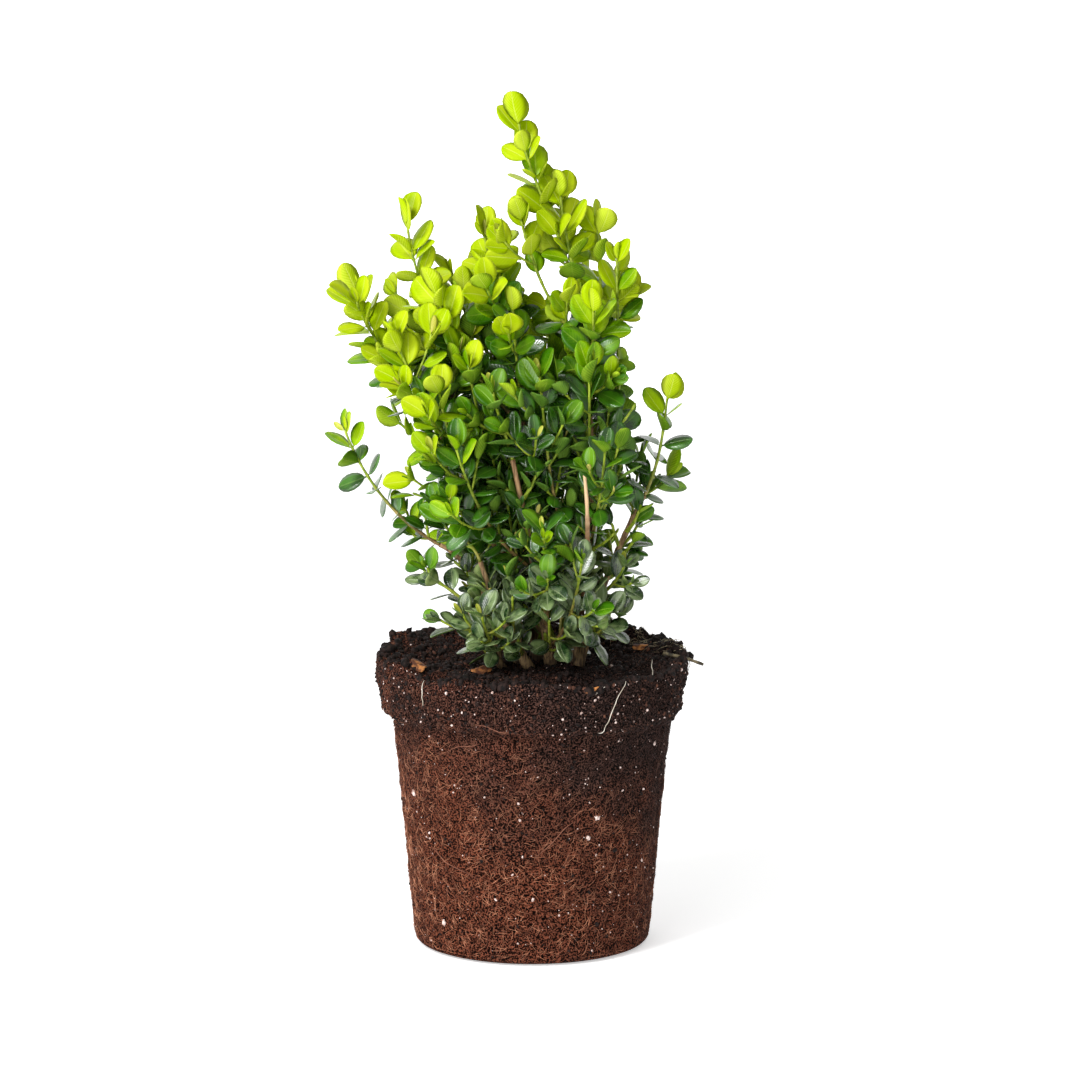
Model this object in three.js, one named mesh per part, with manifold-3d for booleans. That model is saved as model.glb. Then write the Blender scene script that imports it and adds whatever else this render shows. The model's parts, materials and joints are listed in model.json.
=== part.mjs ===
// A young boxwood shrub lifted out of its nursery pot. A clump of woody stems stands on a
// root ball that keeps the pot's shape, and each stem carries sprays of small paired leaves.
// Millimetres, +Z up. The origin is the centre of the root ball's flat underside, +X is to
// the right of the shrub's best side, and -Y is towards whoever looks at that side.
import * as THREE from "three";
import Module from "manifold-3d";

const wasm = await Module();
wasm.setup();

// Root ball: the earth and roots keep the tapered wall and the collar of a nursery pot.
const FOOT_RADIUS = 63;
const WALL_TOP_RADIUS = 74;
const COLLAR_FOOT_HEIGHT = 124;
const COLLAR_FOOT_RADIUS = 80;
const COLLAR_RADIUS = 82.5;
const RIM_HEIGHT = 155.5;
const RIM_RADIUS = 78.5;
const RIM_BLEND = 8;
const GROUND_HEIGHT = 148;
const GROUND_RADIUS = 38;
const FLAT_BLEND = 8;
const BALL_SEGMENTS = 40;
const TOP_RINGS = 4;
const EDGE = 2;
const RIM_SWELL = 6;
const RIM_SWELL_BEARING = 95;
const RIM_LUMPS = 1.6;
const LUMPS_ROUND = [7, 11];
const HOLLOW = { x: 36, y: -46, depth: 8, width: 17 };

// Wood
const CLEARANCE = 0.3;
const STEM_SIDES = 7;
const STEM_STEP = 22;
const FLARE = 0.45;
const FLARE_LENGTH = 9;
const TWIG_RADIUS = 1.25;
const TWIG_TIP_RADIUS = 0.75;
const TWIG_STEP = 20;
const POINT_SPACING = 2.5;

// Leaves. Each is larger than life and stands for two, so that the crown looks full. A blade
// grows out of one side of a square twig, has a pair of shoulders low down and another high
// up, comes to a blunt tip, and arches along its length.
const LEAF_LENGTH = 22.5;
const LEAF_WIDTH = 14.5;
const LEAF_ARCH = 0.9;
const LOW_SHOULDER = { along: 0.36, out: 0.86 };
const HIGH_SHOULDER = { along: 0.77, out: 0.92 };
const PAIR_SPACING = 12;
const TIP_PAIR_DEPTH = 2;
const NODE_HEIGHT = 1.6;
const YOUNG_ANGLE = 30;
const OLD_ANGLE = 62;
const AGEING_LENGTH = 30;
const FACE_UP = 0.35;
const FACE_OUT = 0.6;
const BARE_LENGTH = 7;
const SPACE_MARGIN = 0.9;
const LEAF_CLEAR_OF_TWIG = 6;
const LEAF_CLEAR_OF_EARTH = 1;
const LEAF_TRIES = [
  { close: 1, turn: 0, small: 1 },
  { close: 0.65, turn: 0, small: 1 },
  { close: 1, turn: 30, small: 0.9 },
  { close: 1, turn: -30, small: 0.9 },
  { close: 0.4, turn: 0, small: 0.9 },
  { close: 1, turn: 0, small: 0.72 },
  { close: 0.6, turn: 0, small: 0.65 },
];

// How far the leaves vary: their size as a share, and their directions in degrees.
const FIRST_SEED = 36;
const SIZE_VARIES = 0.2;
const SPREAD_VARIES = 16;
const BEARING_VARIES = 24;
const TIP_LEAF_SMALLER = 0.12;
const TIP_LEAF_REACH = 6;

// Side twigs
const CLEAR_PAIRS = 2;
const SIDE_TWIG_ANGLE = 55;
const SIDE_TWIG_LEAST = 15;
const SIDE_TWIG_MOST = 38;
const SIDE_TWIG_SHARE = 0.45;
const SIDE_TWIG_THINNER = 0.85;
const SIDE_TWIG_RISE = 0.8;
const SIDE_TWIG_ROOM = 7;

// The leaves are bright lime at the top of the crown and dark green at its foot.
const YOUNG_FROM_HEIGHT = 325;
const GROWN_FROM_HEIGHT = 262;
const COLOURS = {
  earth: 0x3a2219,
  bark: 0x9a7a4c,
  young: 0x9dc41c,
  grown: 0x4d8f1e,
  old: 0x1f4d22,
};

// Every stem: its foot on the ground, its tip, how far its middle is pushed out of the
// straight line, and its radius at both ends.
const STEMS = {
  main_stem: { foot: [10, 2], tip: [-10, -24, 261], bow: [2, -14, 0], radius: [2.6, 1.2] },
  tall_stem: { foot: [21, 12], tip: [22, 8, 350], bow: [20, -8, 0], radius: [2.6, 1.1] },
  right_stem: { foot: [25, -1], tip: [60, 8, 239], bow: [-6, 2, 0], radius: [2.2, 1.2] },
  right_back_stem: { foot: [13, 23], tip: [44, 16, 285], bow: [6, 6, 0], radius: [2.2, 1.1] },
  left_crown_stem: { foot: [-7, 5], tip: [-50, -4, 274], bow: [24, 2, 0], radius: [2.4, 1.1] },
  left_front_stem: { foot: [-1, -11], tip: [-27, -30, 208], bow: [-4, -4, 0], radius: [2.2, 1.2] },
  low_left_stem: { foot: [-18, 4], tip: [-49, -5, 214], bow: [10, 0, 20], radius: [2, 1.1] },
  low_front_stem: { foot: [-15, -12], tip: [-33, -25, 182], bow: [-4, -4, 4], radius: [1.8, 1.1] },
  centre_stem: { foot: [3, 16], tip: [-9, 9, 317], bow: [4, 4, 0], radius: [2.4, 1.1] },
  back_left_stem: { foot: [-10, 20], tip: [-40, 42, 270], bow: [6, -4, 0], radius: [2.5, 1.2] },
  back_right_stem: { foot: [20, 30], tip: [38, 48, 265], bow: [-4, -4, 0], radius: [2.4, 1.2] },
  back_stem: { foot: [2, 32], tip: [0, 60, 262], bow: [0, -10, 0], radius: [2.5, 1.2] },
};

// Every spray of leaves: the stem that carries it, how far up that stem it grows (1 is the
// tip), where its own tip is, the turn of its first leaf pair in degrees, and how many leaf
// pairs from the tip are clear of side twigs, where that isn't CLEAR_PAIRS.
const SPRAYS = {
  leaves_top: { stem: "tall_stem", at: 1, tip: [-8, 0, 435], turn: 80, clear: 5 },
  leaves_top_right: { stem: "tall_stem", at: 0.93, tip: [15, 6, 399], turn: 60 },
  leaves_right_peak: { stem: "tall_stem", at: 0.82, tip: [31, 12, 386], turn: 20 },
  leaves_under_top: { stem: "tall_stem", at: 0.86, tip: [0, -6, 368], turn: 45 },
  leaves_right_high_front: { stem: "tall_stem", at: 0.66, tip: [32, -30, 340], turn: 70 },
  leaves_right_front: { stem: "tall_stem", at: 0.47, tip: [30, -26, 310], turn: 10 },
  leaves_centre_front: { stem: "tall_stem", at: 0.24, tip: [4, -30, 306], turn: 35 },
  leaves_right_low_front: { stem: "tall_stem", at: 0.26, tip: [38, -42, 268], turn: 65 },
  leaves_front: { stem: "main_stem", at: 1, tip: [-20, -37, 298], turn: 20 },
  leaves_front_left: { stem: "main_stem", at: 0.5, tip: [-39, -52, 270], turn: 50 },
  leaves_low_front: { stem: "main_stem", at: 0.22, tip: [6, -54, 228], turn: 0, clear: 1 },
  leaves_low_front_right: { stem: "main_stem", at: 0.1, tip: [26, -56, 212], turn: 30, clear: 1 },
  leaves_right: { stem: "right_stem", at: 1, tip: [71, 4, 284], turn: 75, clear: 9 },
  leaves_right_back: { stem: "right_stem", at: 0.86, tip: [58, 30, 258], turn: 15 },
  leaves_low_right: { stem: "right_stem", at: 0.4, tip: [49, -12, 204], turn: 40, clear: 1 },
  leaves_lowest_right: { stem: "right_stem", at: 0.14, tip: [43, -14, 174], turn: 55, clear: 1 },
  leaves_right_side: { stem: "right_back_stem", at: 1, tip: [41, 6, 361], turn: 5, clear: 9 },
  leaves_right_shoulder: { stem: "right_back_stem", at: 0.85, tip: [30, 32, 316], turn: 25 },
  leaves_left_shoulder: { stem: "left_crown_stem", at: 1, tip: [-95, 4, 345], turn: 85 },
  leaves_left_peak: { stem: "left_crown_stem", at: 0.9, tip: [-64, 2, 384], turn: 45, clear: 5 },
  leaves_left_high_front: { stem: "left_crown_stem", at: 0.8, tip: [-71, -24, 326], turn: 10 },
  leaves_left: { stem: "left_crown_stem", at: 0.6, tip: [-54, -14, 286], turn: 30, clear: 4 },
  leaves_left_front: { stem: "left_crown_stem", at: 0.4, tip: [-48, -38, 298], turn: 60 },
  leaves_centre_top: { stem: "centre_stem", at: 1, tip: [-24, -4, 375], turn: 70 },
  leaves_left_top: { stem: "centre_stem", at: 0.88, tip: [-43, 12, 358], turn: 15 },
  leaves_left_centre: { stem: "centre_stem", at: 0.76, tip: [-50, -16, 334], turn: 40 },
  leaves_centre: { stem: "centre_stem", at: 0.8, tip: [-10, -18, 340], turn: 80 },
  leaves_inner: { stem: "centre_stem", at: 0.4, tip: [-33, -27, 310], turn: 5 },
  leaves_left_bright: { stem: "left_front_stem", at: 1, tip: [-48, -41, 239], turn: 35 },
  leaves_far_left: { stem: "low_left_stem", at: 1, tip: [-97, -5, 272], turn: 75, clear: 9 },
  leaves_low_left: { stem: "low_front_stem", at: 1, tip: [-55, -30, 205], turn: 20, clear: 1 },
  leaves_lowest_left: { stem: "low_front_stem", at: 0.3, tip: [-26, -44, 182], turn: 45, clear: 1 },
  leaves_back_left: { stem: "back_left_stem", at: 1, tip: [-58, 44, 328], turn: 65 },
  leaves_back_left_top: { stem: "back_left_stem", at: 0.9, tip: [-22, 36, 356], turn: 30 },
  leaves_back_left_side: { stem: "back_left_stem", at: 0.7, tip: [-54, 36, 306], turn: 0 },
  leaves_back_left_low: { stem: "back_left_stem", at: 0.2, tip: [-34, 54, 214], turn: 50, clear: 1 },
  leaves_back_right: { stem: "back_right_stem", at: 1, tip: [28, 46, 350], turn: 20 },
  leaves_back_right_side: { stem: "back_right_stem", at: 0.75, tip: [42, 54, 286], turn: 70 },
  leaves_back_right_low: { stem: "back_right_stem", at: 0.2, tip: [38, 58, 214], turn: 40, clear: 1 },
  leaves_back: { stem: "back_stem", at: 1, tip: [6, 66, 332], turn: 10 },
  leaves_back_inner_left: { stem: "back_stem", at: 0.5, tip: [-24, 72, 290], turn: 60 },
  leaves_back_inner_right: { stem: "back_stem", at: 0.4, tip: [22, 78, 272], turn: 80 },
  leaves_back_low: { stem: "back_stem", at: 0.15, tip: [-2, 76, 216], turn: 25, clear: 1 },
  leaves_base_left: { stem: "low_front_stem", at: 0.66, tip: [-42, -34, 176], turn: 60, clear: 1 },
  leaves_base_front: { stem: "left_front_stem", at: 0.34, tip: [-10, -46, 192], turn: 10, clear: 1 },
  leaves_base_centre: { stem: "main_stem", at: 0.08, tip: [9, -34, 178], turn: 35, clear: 1 },
  leaves_base_right: { stem: "right_stem", at: 0.1, tip: [32, -30, 176], turn: 70, clear: 1 },
};

// The outline of a blade from its left low shoulder round the tip to its right low shoulder,
// as shares of its length and of its half width, and a height.
const BLADE_OUTLINE = [
  [LOW_SHOULDER.along, -LOW_SHOULDER.out, LEAF_ARCH],
  [HIGH_SHOULDER.along, -HIGH_SHOULDER.out, LEAF_ARCH],
  [1, 0, 0],
  [HIGH_SHOULDER.along, HIGH_SHOULDER.out, LEAF_ARCH],
  [LOW_SHOULDER.along, LOW_SHOULDER.out, LEAF_ARCH],
];

const UP = new THREE.Vector3(0, 0, 1);
const DEPTH = new THREE.Vector3(0, 1, 0);

// A repeatable number from 0 to 1 for a seed and a counter.
function chance(seed, counter) {
  const wave = Math.sin(seed * 12.9898 + counter * 78.233) * 43758.5453;
  return wave - Math.floor(wave);
}

function degrees(angle) {
  return (angle * Math.PI) / 180;
}

// Two directions square to an axis, with the first as near to level as it can be.
function frameOf(axis) {
  const side = new THREE.Vector3().crossVectors(DEPTH, axis).normalize();
  return { side, back: new THREE.Vector3().crossVectors(axis, side) };
}

// The direction that leaves an axis at an angle, on the bearing that a turn gives.
function branching(axis, angle, turn) {
  const { side, back } = frameOf(axis);
  return new THREE.Vector3()
    .addScaledVector(axis, Math.cos(angle))
    .addScaledVector(side, Math.sin(angle) * Math.cos(turn))
    .addScaledVector(back, Math.sin(angle) * Math.sin(turn));
}

function pointsAlong(curve, length) {
  return curve.getSpacedPoints(Math.ceil(length / POINT_SPACING));
}

function geometryOf(solid) {
  const mesh = solid.getMesh();
  const geometry = new THREE.BufferGeometry();
  geometry.setAttribute("position", new THREE.BufferAttribute(mesh.vertProperties, mesh.numProp));
  geometry.setIndex(new THREE.BufferAttribute(mesh.triVerts, 1));
  geometry.computeVertexNormals();
  return geometry;
}

// Root ball

// Height of the earth above the underside, at a place on the top of the root ball.
function earthHeight(x, y) {
  const radius = Math.hypot(x, y);
  const bearing = Math.atan2(y, x);
  const toRim = THREE.MathUtils.smoothstep(radius, GROUND_RADIUS, COLLAR_RADIUS);
  const swell = RIM_SWELL * Math.cos(bearing - degrees(RIM_SWELL_BEARING));
  const [few, many] = LUMPS_ROUND;
  const lumps = RIM_LUMPS * (Math.sin(few * bearing + 1) + Math.sin(many * bearing + toRim * 5));
  const fromHollow = Math.hypot(x - HOLLOW.x, y - HOLLOW.y) / HOLLOW.width;
  const hollow = HOLLOW.depth * Math.exp((-fromHollow * fromHollow) / 2);
  const offFlat = THREE.MathUtils.smoothstep(radius, GROUND_RADIUS, GROUND_RADIUS + FLAT_BLEND);
  return GROUND_HEIGHT + toRim * (RIM_HEIGHT - GROUND_HEIGHT + swell + lumps) - offFlat * hollow;
}

// The root ball is turned from its profile, and its top is then lowered on to the earth.
function rootBall() {
  const wall = [
    [0, 0],
    [FOOT_RADIUS - EDGE, 0],
    [FOOT_RADIUS, EDGE],
    [(FOOT_RADIUS + WALL_TOP_RADIUS) / 2, COLLAR_FOOT_HEIGHT / 2],
    [WALL_TOP_RADIUS, COLLAR_FOOT_HEIGHT - EDGE],
    [COLLAR_FOOT_RADIUS, COLLAR_FOOT_HEIGHT + EDGE],
    [COLLAR_RADIUS, RIM_HEIGHT - RIM_BLEND],
    [COLLAR_RADIUS - EDGE / 2, RIM_HEIGHT - EDGE],
  ];
  const top = Array.from({ length: TOP_RINGS + 1 }, (_, k) => [
    THREE.MathUtils.lerp(RIM_RADIUS, GROUND_RADIUS, k / TOP_RINGS),
    RIM_HEIGHT,
  ]);
  const profile = [...wall, ...top, [0, RIM_HEIGHT]].map(([r, z]) => new THREE.Vector2(r, z));
  const ball = new THREE.LatheGeometry(profile, BALL_SEGMENTS).rotateX(Math.PI / 2);
  const place = ball.getAttribute("position");
  for (let i = 0; i < place.count; i += 1) {
    const [x, y, z] = [place.getX(i), place.getY(i), place.getZ(i)];
    const onTop = THREE.MathUtils.smoothstep(z, RIM_HEIGHT - RIM_BLEND, RIM_HEIGHT);
    place.setZ(i, THREE.MathUtils.lerp(z, earthHeight(x, y), onTop));
  }
  return ball;
}

// Stems

function stemCurve({ foot, tip, bow }) {
  const start = new THREE.Vector3(foot[0], foot[1], GROUND_HEIGHT + CLEARANCE);
  const end = new THREE.Vector3(...tip);
  const middle = start.clone().add(end).multiplyScalar(0.5).add(new THREE.Vector3(...bow));
  return new THREE.QuadraticBezierCurve3(start, middle, end);
}

// A stem tapers evenly, and flares where it meets the ground.
function growStem(name, stem) {
  const curve = stemCurve(stem);
  const length = curve.getLength();
  const [thick, thin] = stem.radius;
  const radiusAt = (share) => {
    const flare = FLARE * Math.exp((-share * length) / FLARE_LENGTH);
    return THREE.MathUtils.lerp(thick, thin, share) * (1 + flare);
  };
  return { name, curve, length, radiusAt, points: pointsAlong(curve, length) };
}

// A stem is a cylinder of unit size, bent on to its curve, with a foot cut level.
function stemGeometry({ curve, length, radiusAt }) {
  const tube = new THREE.CylinderGeometry(1, 1, 1, STEM_SIDES, Math.ceil(length / STEM_STEP));
  const place = tube.getAttribute("position");
  for (let i = 0; i < place.count; i += 1) {
    const share = THREE.MathUtils.clamp(place.getY(i) + 0.5, 0, 1);
    const { side, back } = frameOf(curve.getTangentAt(share));
    const point = curve
      .getPointAt(share)
      .addScaledVector(side, place.getX(i) * radiusAt(share))
      .addScaledVector(back, -place.getZ(i) * radiusAt(share));
    place.setXYZ(i, point.x, point.y, share === 0 ? GROUND_HEIGHT + CLEARANCE : point.z);
  }
  return tube;
}

// Sprays of leaves

// The main twig of a spray leaves its stem 0.3 mm clear of the wood and turns up to its tip.
function mainTwig(spray, stem) {
  const axis = stem.curve.getTangentAt(spray.at);
  const tip = new THREE.Vector3(...spray.tip);
  const onStem = stem.curve.getPointAt(spray.at);
  const away = tip.clone().sub(onStem);
  const outward = away.clone().addScaledVector(axis, -away.dot(axis)).normalize();
  const atTip = spray.at === 1;
  const leaving = atTip ? axis.clone() : axis.clone().add(outward).normalize();
  const beside = stem.radiusAt(spray.at) + CLEARANCE + TWIG_RADIUS * Math.SQRT1_2;
  const reach = atTip ? CLEARANCE : beside;
  const start = onStem.clone().addScaledVector(atTip ? axis : outward, reach);
  const third = tip.distanceTo(start) / 3;
  const arriving = tip.clone().sub(start).normalize().add(UP).normalize();
  return new THREE.CubicBezierCurve3(
    start,
    start.clone().addScaledVector(leaving, third),
    tip.clone().addScaledVector(arriving, -third),
    tip,
  );
}

// A twig's nodes are the places of its leaf pairs, counted from the tip down.
function twigOf(curve, radius, turn) {
  const length = curve.getLength();
  const pairs = Math.floor((length - BARE_LENGTH) / PAIR_SPACING) + 1;
  return {
    curve,
    length,
    turn,
    leaves: [],
    shoots: [],
    radiusAt: (share) => THREE.MathUtils.lerp(radius, TWIG_TIP_RADIUS, share),
    points: pointsAlong(curve, length),
    nodes: Array.from({ length: pairs }, (_, pair) => {
      const fromTip = TIP_PAIR_DEPTH + pair * PAIR_SPACING;
      return { pair, fromTip, share: 1 - fromTip / length };
    }),
  };
}

// A side twig stands in place of one leaf of its pair, and turns up like the main twig. The
// further it is from the tip, the longer it is.
function sideTwig({ seed, twigs: [main] }, { pair, fromTip, share }) {
  const side = (pair + 2 * Math.round(chance(seed, pair))) % 4;
  const bearing = degrees(main.turn + 90 * side);
  const leaving = branching(main.curve.getTangentAt(share), degrees(SIDE_TWIG_ANGLE), bearing);
  const length = Math.min(SIDE_TWIG_LEAST + SIDE_TWIG_SHARE * fromTip, SIDE_TWIG_MOST);
  const root = main.curve.getPointAt(share);
  const bend = root.clone().addScaledVector(leaving, length / 2);
  const rising = leaving.clone().addScaledVector(UP, SIDE_TWIG_RISE).normalize();
  const tip = bend.clone().addScaledVector(rising, length / 2);
  const curve = new THREE.QuadraticBezierCurve3(root, bend, tip);
  const radius = main.radiusAt(share) * SIDE_TWIG_THINNER;
  return { ...twigOf(curve, radius, 360 * chance(seed, -pair)), from: { pair, side } };
}

// Side twigs grow at every second leaf pair, below the pairs near the tip.
function sideTwigs(spray) {
  const nodes = spray.twigs[0].nodes.slice(spray.clear).filter((_, k) => k % 2 === 0);
  return nodes.map((node) => sideTwig(spray, node));
}

function gapBetween(pointsA, pointsB) {
  let gap = Infinity;
  for (const a of pointsA) for (const b of pointsB) gap = Math.min(gap, a.distanceTo(b));
  return gap;
}

function hasRoom(twig, spray, sprays, stems) {
  const beyondRoot = twig.points.slice(1);
  const nearSpray = sprays.some(
    (other) =>
      other !== spray &&
      other.twigs.some((theirs) => gapBetween(beyondRoot, theirs.points) < SIDE_TWIG_ROOM),
  );
  const nearStem = stems.some((stem) => gapBetween(beyondRoot, stem.points) < SIDE_TWIG_ROOM / 2);
  const nearGround = twig.points.some((p) => p.z < earthHeight(p.x, p.y) + SIDE_TWIG_ROOM / 2);
  return !nearSpray && !nearStem && !nearGround;
}

// Leaves

// A leaf on a twig: where its root is, its own three directions and its outline.
function leafOn(twig, share, spread, bearing, size) {
  const root = twig.curve.getPointAt(share);
  const axis = twig.curve.getTangentAt(share);
  const along = branching(axis, degrees(spread), degrees(bearing));
  const outward = new THREE.Vector3(root.x, root.y, 0).normalize();
  const above = axis.clone().addScaledVector(UP, FACE_UP).addScaledVector(outward, FACE_OUT);
  above.addScaledVector(along, -above.dot(along)).normalize();
  const across = new THREE.Vector3().crossVectors(above, along);
  const outline = BLADE_OUTLINE.map(([u, v, w]) =>
    root
      .clone()
      .addScaledVector(along, u * LEAF_LENGTH * size)
      .addScaledVector(across, (v * LEAF_WIDTH * size) / 2)
      .addScaledVector(above, w * size),
  );
  return { root, along, across, above, size, outline };
}

// A point as distances along a leaf, across it and above it.
function onLeaf(leaf, point) {
  const offset = point.clone().sub(leaf.root);
  return [offset.dot(leaf.along), offset.dot(leaf.across), offset.dot(leaf.above)];
}

function withinBlade(leaf, u, v, margin) {
  const inLength = u < LEAF_LENGTH * leaf.size + margin;
  return inLength && Math.abs(v) < (LEAF_WIDTH / 2) * leaf.size + margin;
}

// One blade cuts another where an edge of its outline passes through the other's plane.
function cuts(leaf, other) {
  const corners = [leaf.root, ...leaf.outline];
  return corners.some((start, i) => {
    const end = corners[(i + 1) % corners.length];
    const [u0, v0, w0] = onLeaf(other, start);
    const [u1, v1, w1] = onLeaf(other, end);
    if ((w0 - LEAF_ARCH / 2) * (w1 - LEAF_ARCH / 2) > 0) return false;
    const share = (w0 - LEAF_ARCH / 2) / (w0 - w1);
    const [u, v] = [u0 + share * (u1 - u0), v0 + share * (v1 - v0)];
    return u > 1 && withinBlade(other, u, v, CLEARANCE);
  });
}

// A limb touches a leaf where its axis comes within its radius of the blade. Nothing nearer
// to the leaf's root than the given distance is looked at.
function touchesLimb(leaf, limb, fromRoot) {
  return limb.points.some((point, i) => {
    const room = limb.radiusAt(i / (limb.points.length - 1)) + CLEARANCE;
    const [u, v, w] = onLeaf(leaf, point);
    return u > fromRoot && withinBlade(leaf, u, v, room) && w > -room && w < room + LEAF_ARCH;
  });
}

function nearest(point, points) {
  let gap = Infinity;
  for (const p of points) gap = Math.min(gap, point.distanceToSquared(p));
  return Math.sqrt(gap);
}

// A leaf keeps to its spray's space: every point of it is nearer to the twigs of its own
// spray than to those of any other.
function keepsToSpace(leaf, spray, sprays) {
  const centre = leaf.root.clone().addScaledVector(leaf.along, (LEAF_LENGTH * leaf.size) / 2);
  return leaf.outline
    .flatMap((corner) => [corner, corner.clone().lerp(centre, 0.5)])
    .every((point) => {
      const own = Math.min(...spray.twigs.map((twig) => nearest(point, twig.points)));
      return sprays.every(
        (other) =>
          other === spray ||
          other.twigs.every((twig) => nearest(point, twig.points) > own + SPACE_MARGIN),
      );
    });
}

function fits(leaf, spray, sprays, stems) {
  const grown = spray.twigs.flatMap((twig) => twig.leaves);
  return (
    leaf.outline.every((p) => p.z > earthHeight(p.x, p.y) + LEAF_CLEAR_OF_EARTH) &&
    !stems.some((stem) => touchesLimb(leaf, stem, -LEAF_CLEAR_OF_TWIG)) &&
    !spray.twigs.some((twig) => touchesLimb(leaf, twig, LEAF_CLEAR_OF_TWIG)) &&
    !grown.some((other) => cuts(leaf, other) || cuts(other, leaf)) &&
    keepsToSpace(leaf, spray, sprays)
  );
}

// Each leaf pair stands a quarter turn from the last. A young pair is held close to the twig,
// and an old one spreads wide. A leaf that has no room is tried closer to its twig, then
// smaller, and then left out.
function growLeaves(spray, sprays, stems) {
  spray.twigs.forEach((twig, k) => {
    for (const { pair, fromTip, share } of twig.nodes) {
      const age = 1 - Math.exp(-fromTip / AGEING_LENGTH);
      for (const half of [0, 1]) {
        const side = (pair + 2 * half) % 4;
        if (twig.shoots.some((shoot) => shoot.pair === pair && shoot.side === side)) continue;
        const draw = chance(spray.seed, (k * spray.twigs[0].nodes.length + pair) * 2 + half) - 0.5;
        const spread = THREE.MathUtils.lerp(YOUNG_ANGLE, OLD_ANGLE, age) + SPREAD_VARIES * draw;
        const bearing = twig.turn + 90 * side + BEARING_VARIES * draw;
        const grown = 1 - TIP_LEAF_SMALLER * Math.exp(-fromTip / TIP_LEAF_REACH);
        const size = grown * (1 + SIZE_VARIES * draw);
        const leaf = LEAF_TRIES.map(({ close, turn, small }) =>
          leafOn(twig, share, spread * close, bearing + turn, size * small),
        ).find((one) => fits(one, spray, sprays, stems));
        if (leaf) twig.leaves.push({ ...leaf, pair, side });
      }
    }
  });
}

// A twig has a ring at each end, a ring below and above every node that carries anything,
// and more rings along its bare foot.
function ringsOf({ length, nodes, leaves, shoots }) {
  const grown = nodes.filter(({ pair }) => [...leaves, ...shoots].some((one) => one.pair === pair));
  const bare = grown.length > 0 ? grown[grown.length - 1].share : 1;
  const steps = Math.ceil((bare * length) / TWIG_STEP);
  const foot = Array.from({ length: steps }, (_, k) => ({ share: (k * bare) / steps }));
  const half = NODE_HEIGHT / 2 / length;
  const pairs = grown
    .reverse()
    .flatMap(({ pair, share }) => [{ pair, share: share - half }, { share: share + half }]);
  return [...foot, ...pairs, { share: 1 }];
}

// The four corners of a twig's ring.
function ringCorners({ curve, radiusAt, turn }, share) {
  const { side, back } = frameOf(curve.getTangentAt(share));
  return [45, 135, 225, 315].map((corner) => {
    const bearing = degrees(turn + corner);
    return curve
      .getPointAt(share)
      .addScaledVector(side, radiusAt(share) * Math.cos(bearing))
      .addScaledVector(back, radiusAt(share) * Math.sin(bearing));
  });
}

// The faces of a blade that grows from a four-cornered side of its twig. Its upper faces run
// from edge to edge and its lower ones from root to tip, so the arch gives it thickness.
function bladeFaces([footLeft, footRight, headRight, headLeft], first) {
  const [left, highLeft, tip, highRight, right] = [0, 1, 2, 3, 4].map((i) => first + i);
  return [
    [headLeft, left, right],
    [headLeft, right, headRight],
    [left, highLeft, highRight],
    [left, highRight, right],
    [highLeft, tip, highRight],
    [footLeft, footRight, tip],
    [footRight, right, tip],
    [right, highRight, tip],
    [footLeft, tip, left],
    [left, tip, highLeft],
    [footRight, headRight, right],
    [footLeft, left, headLeft],
  ];
}

// A square twig with its leaves, as one closed solid.
function twigSolid(twig) {
  const rings = ringsOf(twig);
  const points = rings.flatMap((ring) => ringCorners(twig, ring.share));
  const end = points.length - 4;
  const faces = [
    [0, 2, 1],
    [0, 3, 2],
    [end, end + 1, end + 2],
    [end, end + 2, end + 3],
  ];
  rings.slice(0, -1).forEach(({ pair }, k) => {
    for (const side of [0, 1, 2, 3]) {
      const [left, right] = [4 * k + ((side + 3) % 4), 4 * k + side];
      const leaf = twig.leaves.find((one) => one.pair === pair && one.side === side);
      if (leaf) {
        faces.push(...bladeFaces([left, right, right + 4, left + 4], points.length));
        points.push(...leaf.outline);
      } else {
        faces.push([left, right, right + 4], [left, right + 4, left + 4]);
      }
    }
  });
  return new wasm.Manifold(
    new wasm.Mesh({
      numProp: 3,
      vertProperties: new Float32Array(points.flatMap((point) => point.toArray())),
      triVerts: new Uint32Array(faces.flat()),
    }),
  );
}

function sprayGeometry(spray) {
  return geometryOf(wasm.Manifold.union(spray.twigs.map(twigSolid)));
}

// Assembly

function material(color, roughness) {
  return new THREE.MeshStandardMaterial({ color, roughness, metalness: 0 });
}

const materials = {
  earth: material(COLOURS.earth, 0.95),
  bark: material(COLOURS.bark, 0.8),
  young: material(COLOURS.young, 0.5),
  grown: material(COLOURS.grown, 0.4),
  old: material(COLOURS.old, 0.35),
};

function leafMaterial(height) {
  if (height > YOUNG_FROM_HEIGHT) return materials.young;
  return height > GROWN_FROM_HEIGHT ? materials.grown : materials.old;
}

function named(name, geometry, look) {
  const mesh = new THREE.Mesh(geometry, look);
  mesh.name = name;
  return mesh;
}

const shrub = new THREE.Group();
shrub.add(named("root_ball", rootBall(), materials.earth));

const stems = Object.entries(STEMS).map(([name, stem]) => growStem(name, stem));
for (const stem of stems) shrub.add(named(stem.name, stemGeometry(stem), materials.bark));

const sprays = Object.entries(SPRAYS).map(([name, spray], row) => {
  const stem = stems.find((one) => one.name === spray.stem);
  const main = twigOf(mainTwig(spray, stem), TWIG_RADIUS, spray.turn);
  return { name, seed: FIRST_SEED + row, clear: CLEAR_PAIRS, ...spray, twigs: [main] };
});
for (const spray of sprays) {
  for (const twig of sideTwigs(spray)) {
    if (hasRoom(twig, spray, sprays, stems)) {
      spray.twigs.push(twig);
      spray.twigs[0].shoots.push(twig.from);
    }
  }
}
for (const spray of sprays) {
  growLeaves(spray, sprays, stems);
  shrub.add(named(spray.name, sprayGeometry(spray), leafMaterial(spray.tip[2])));
}

export default shrub;
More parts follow.
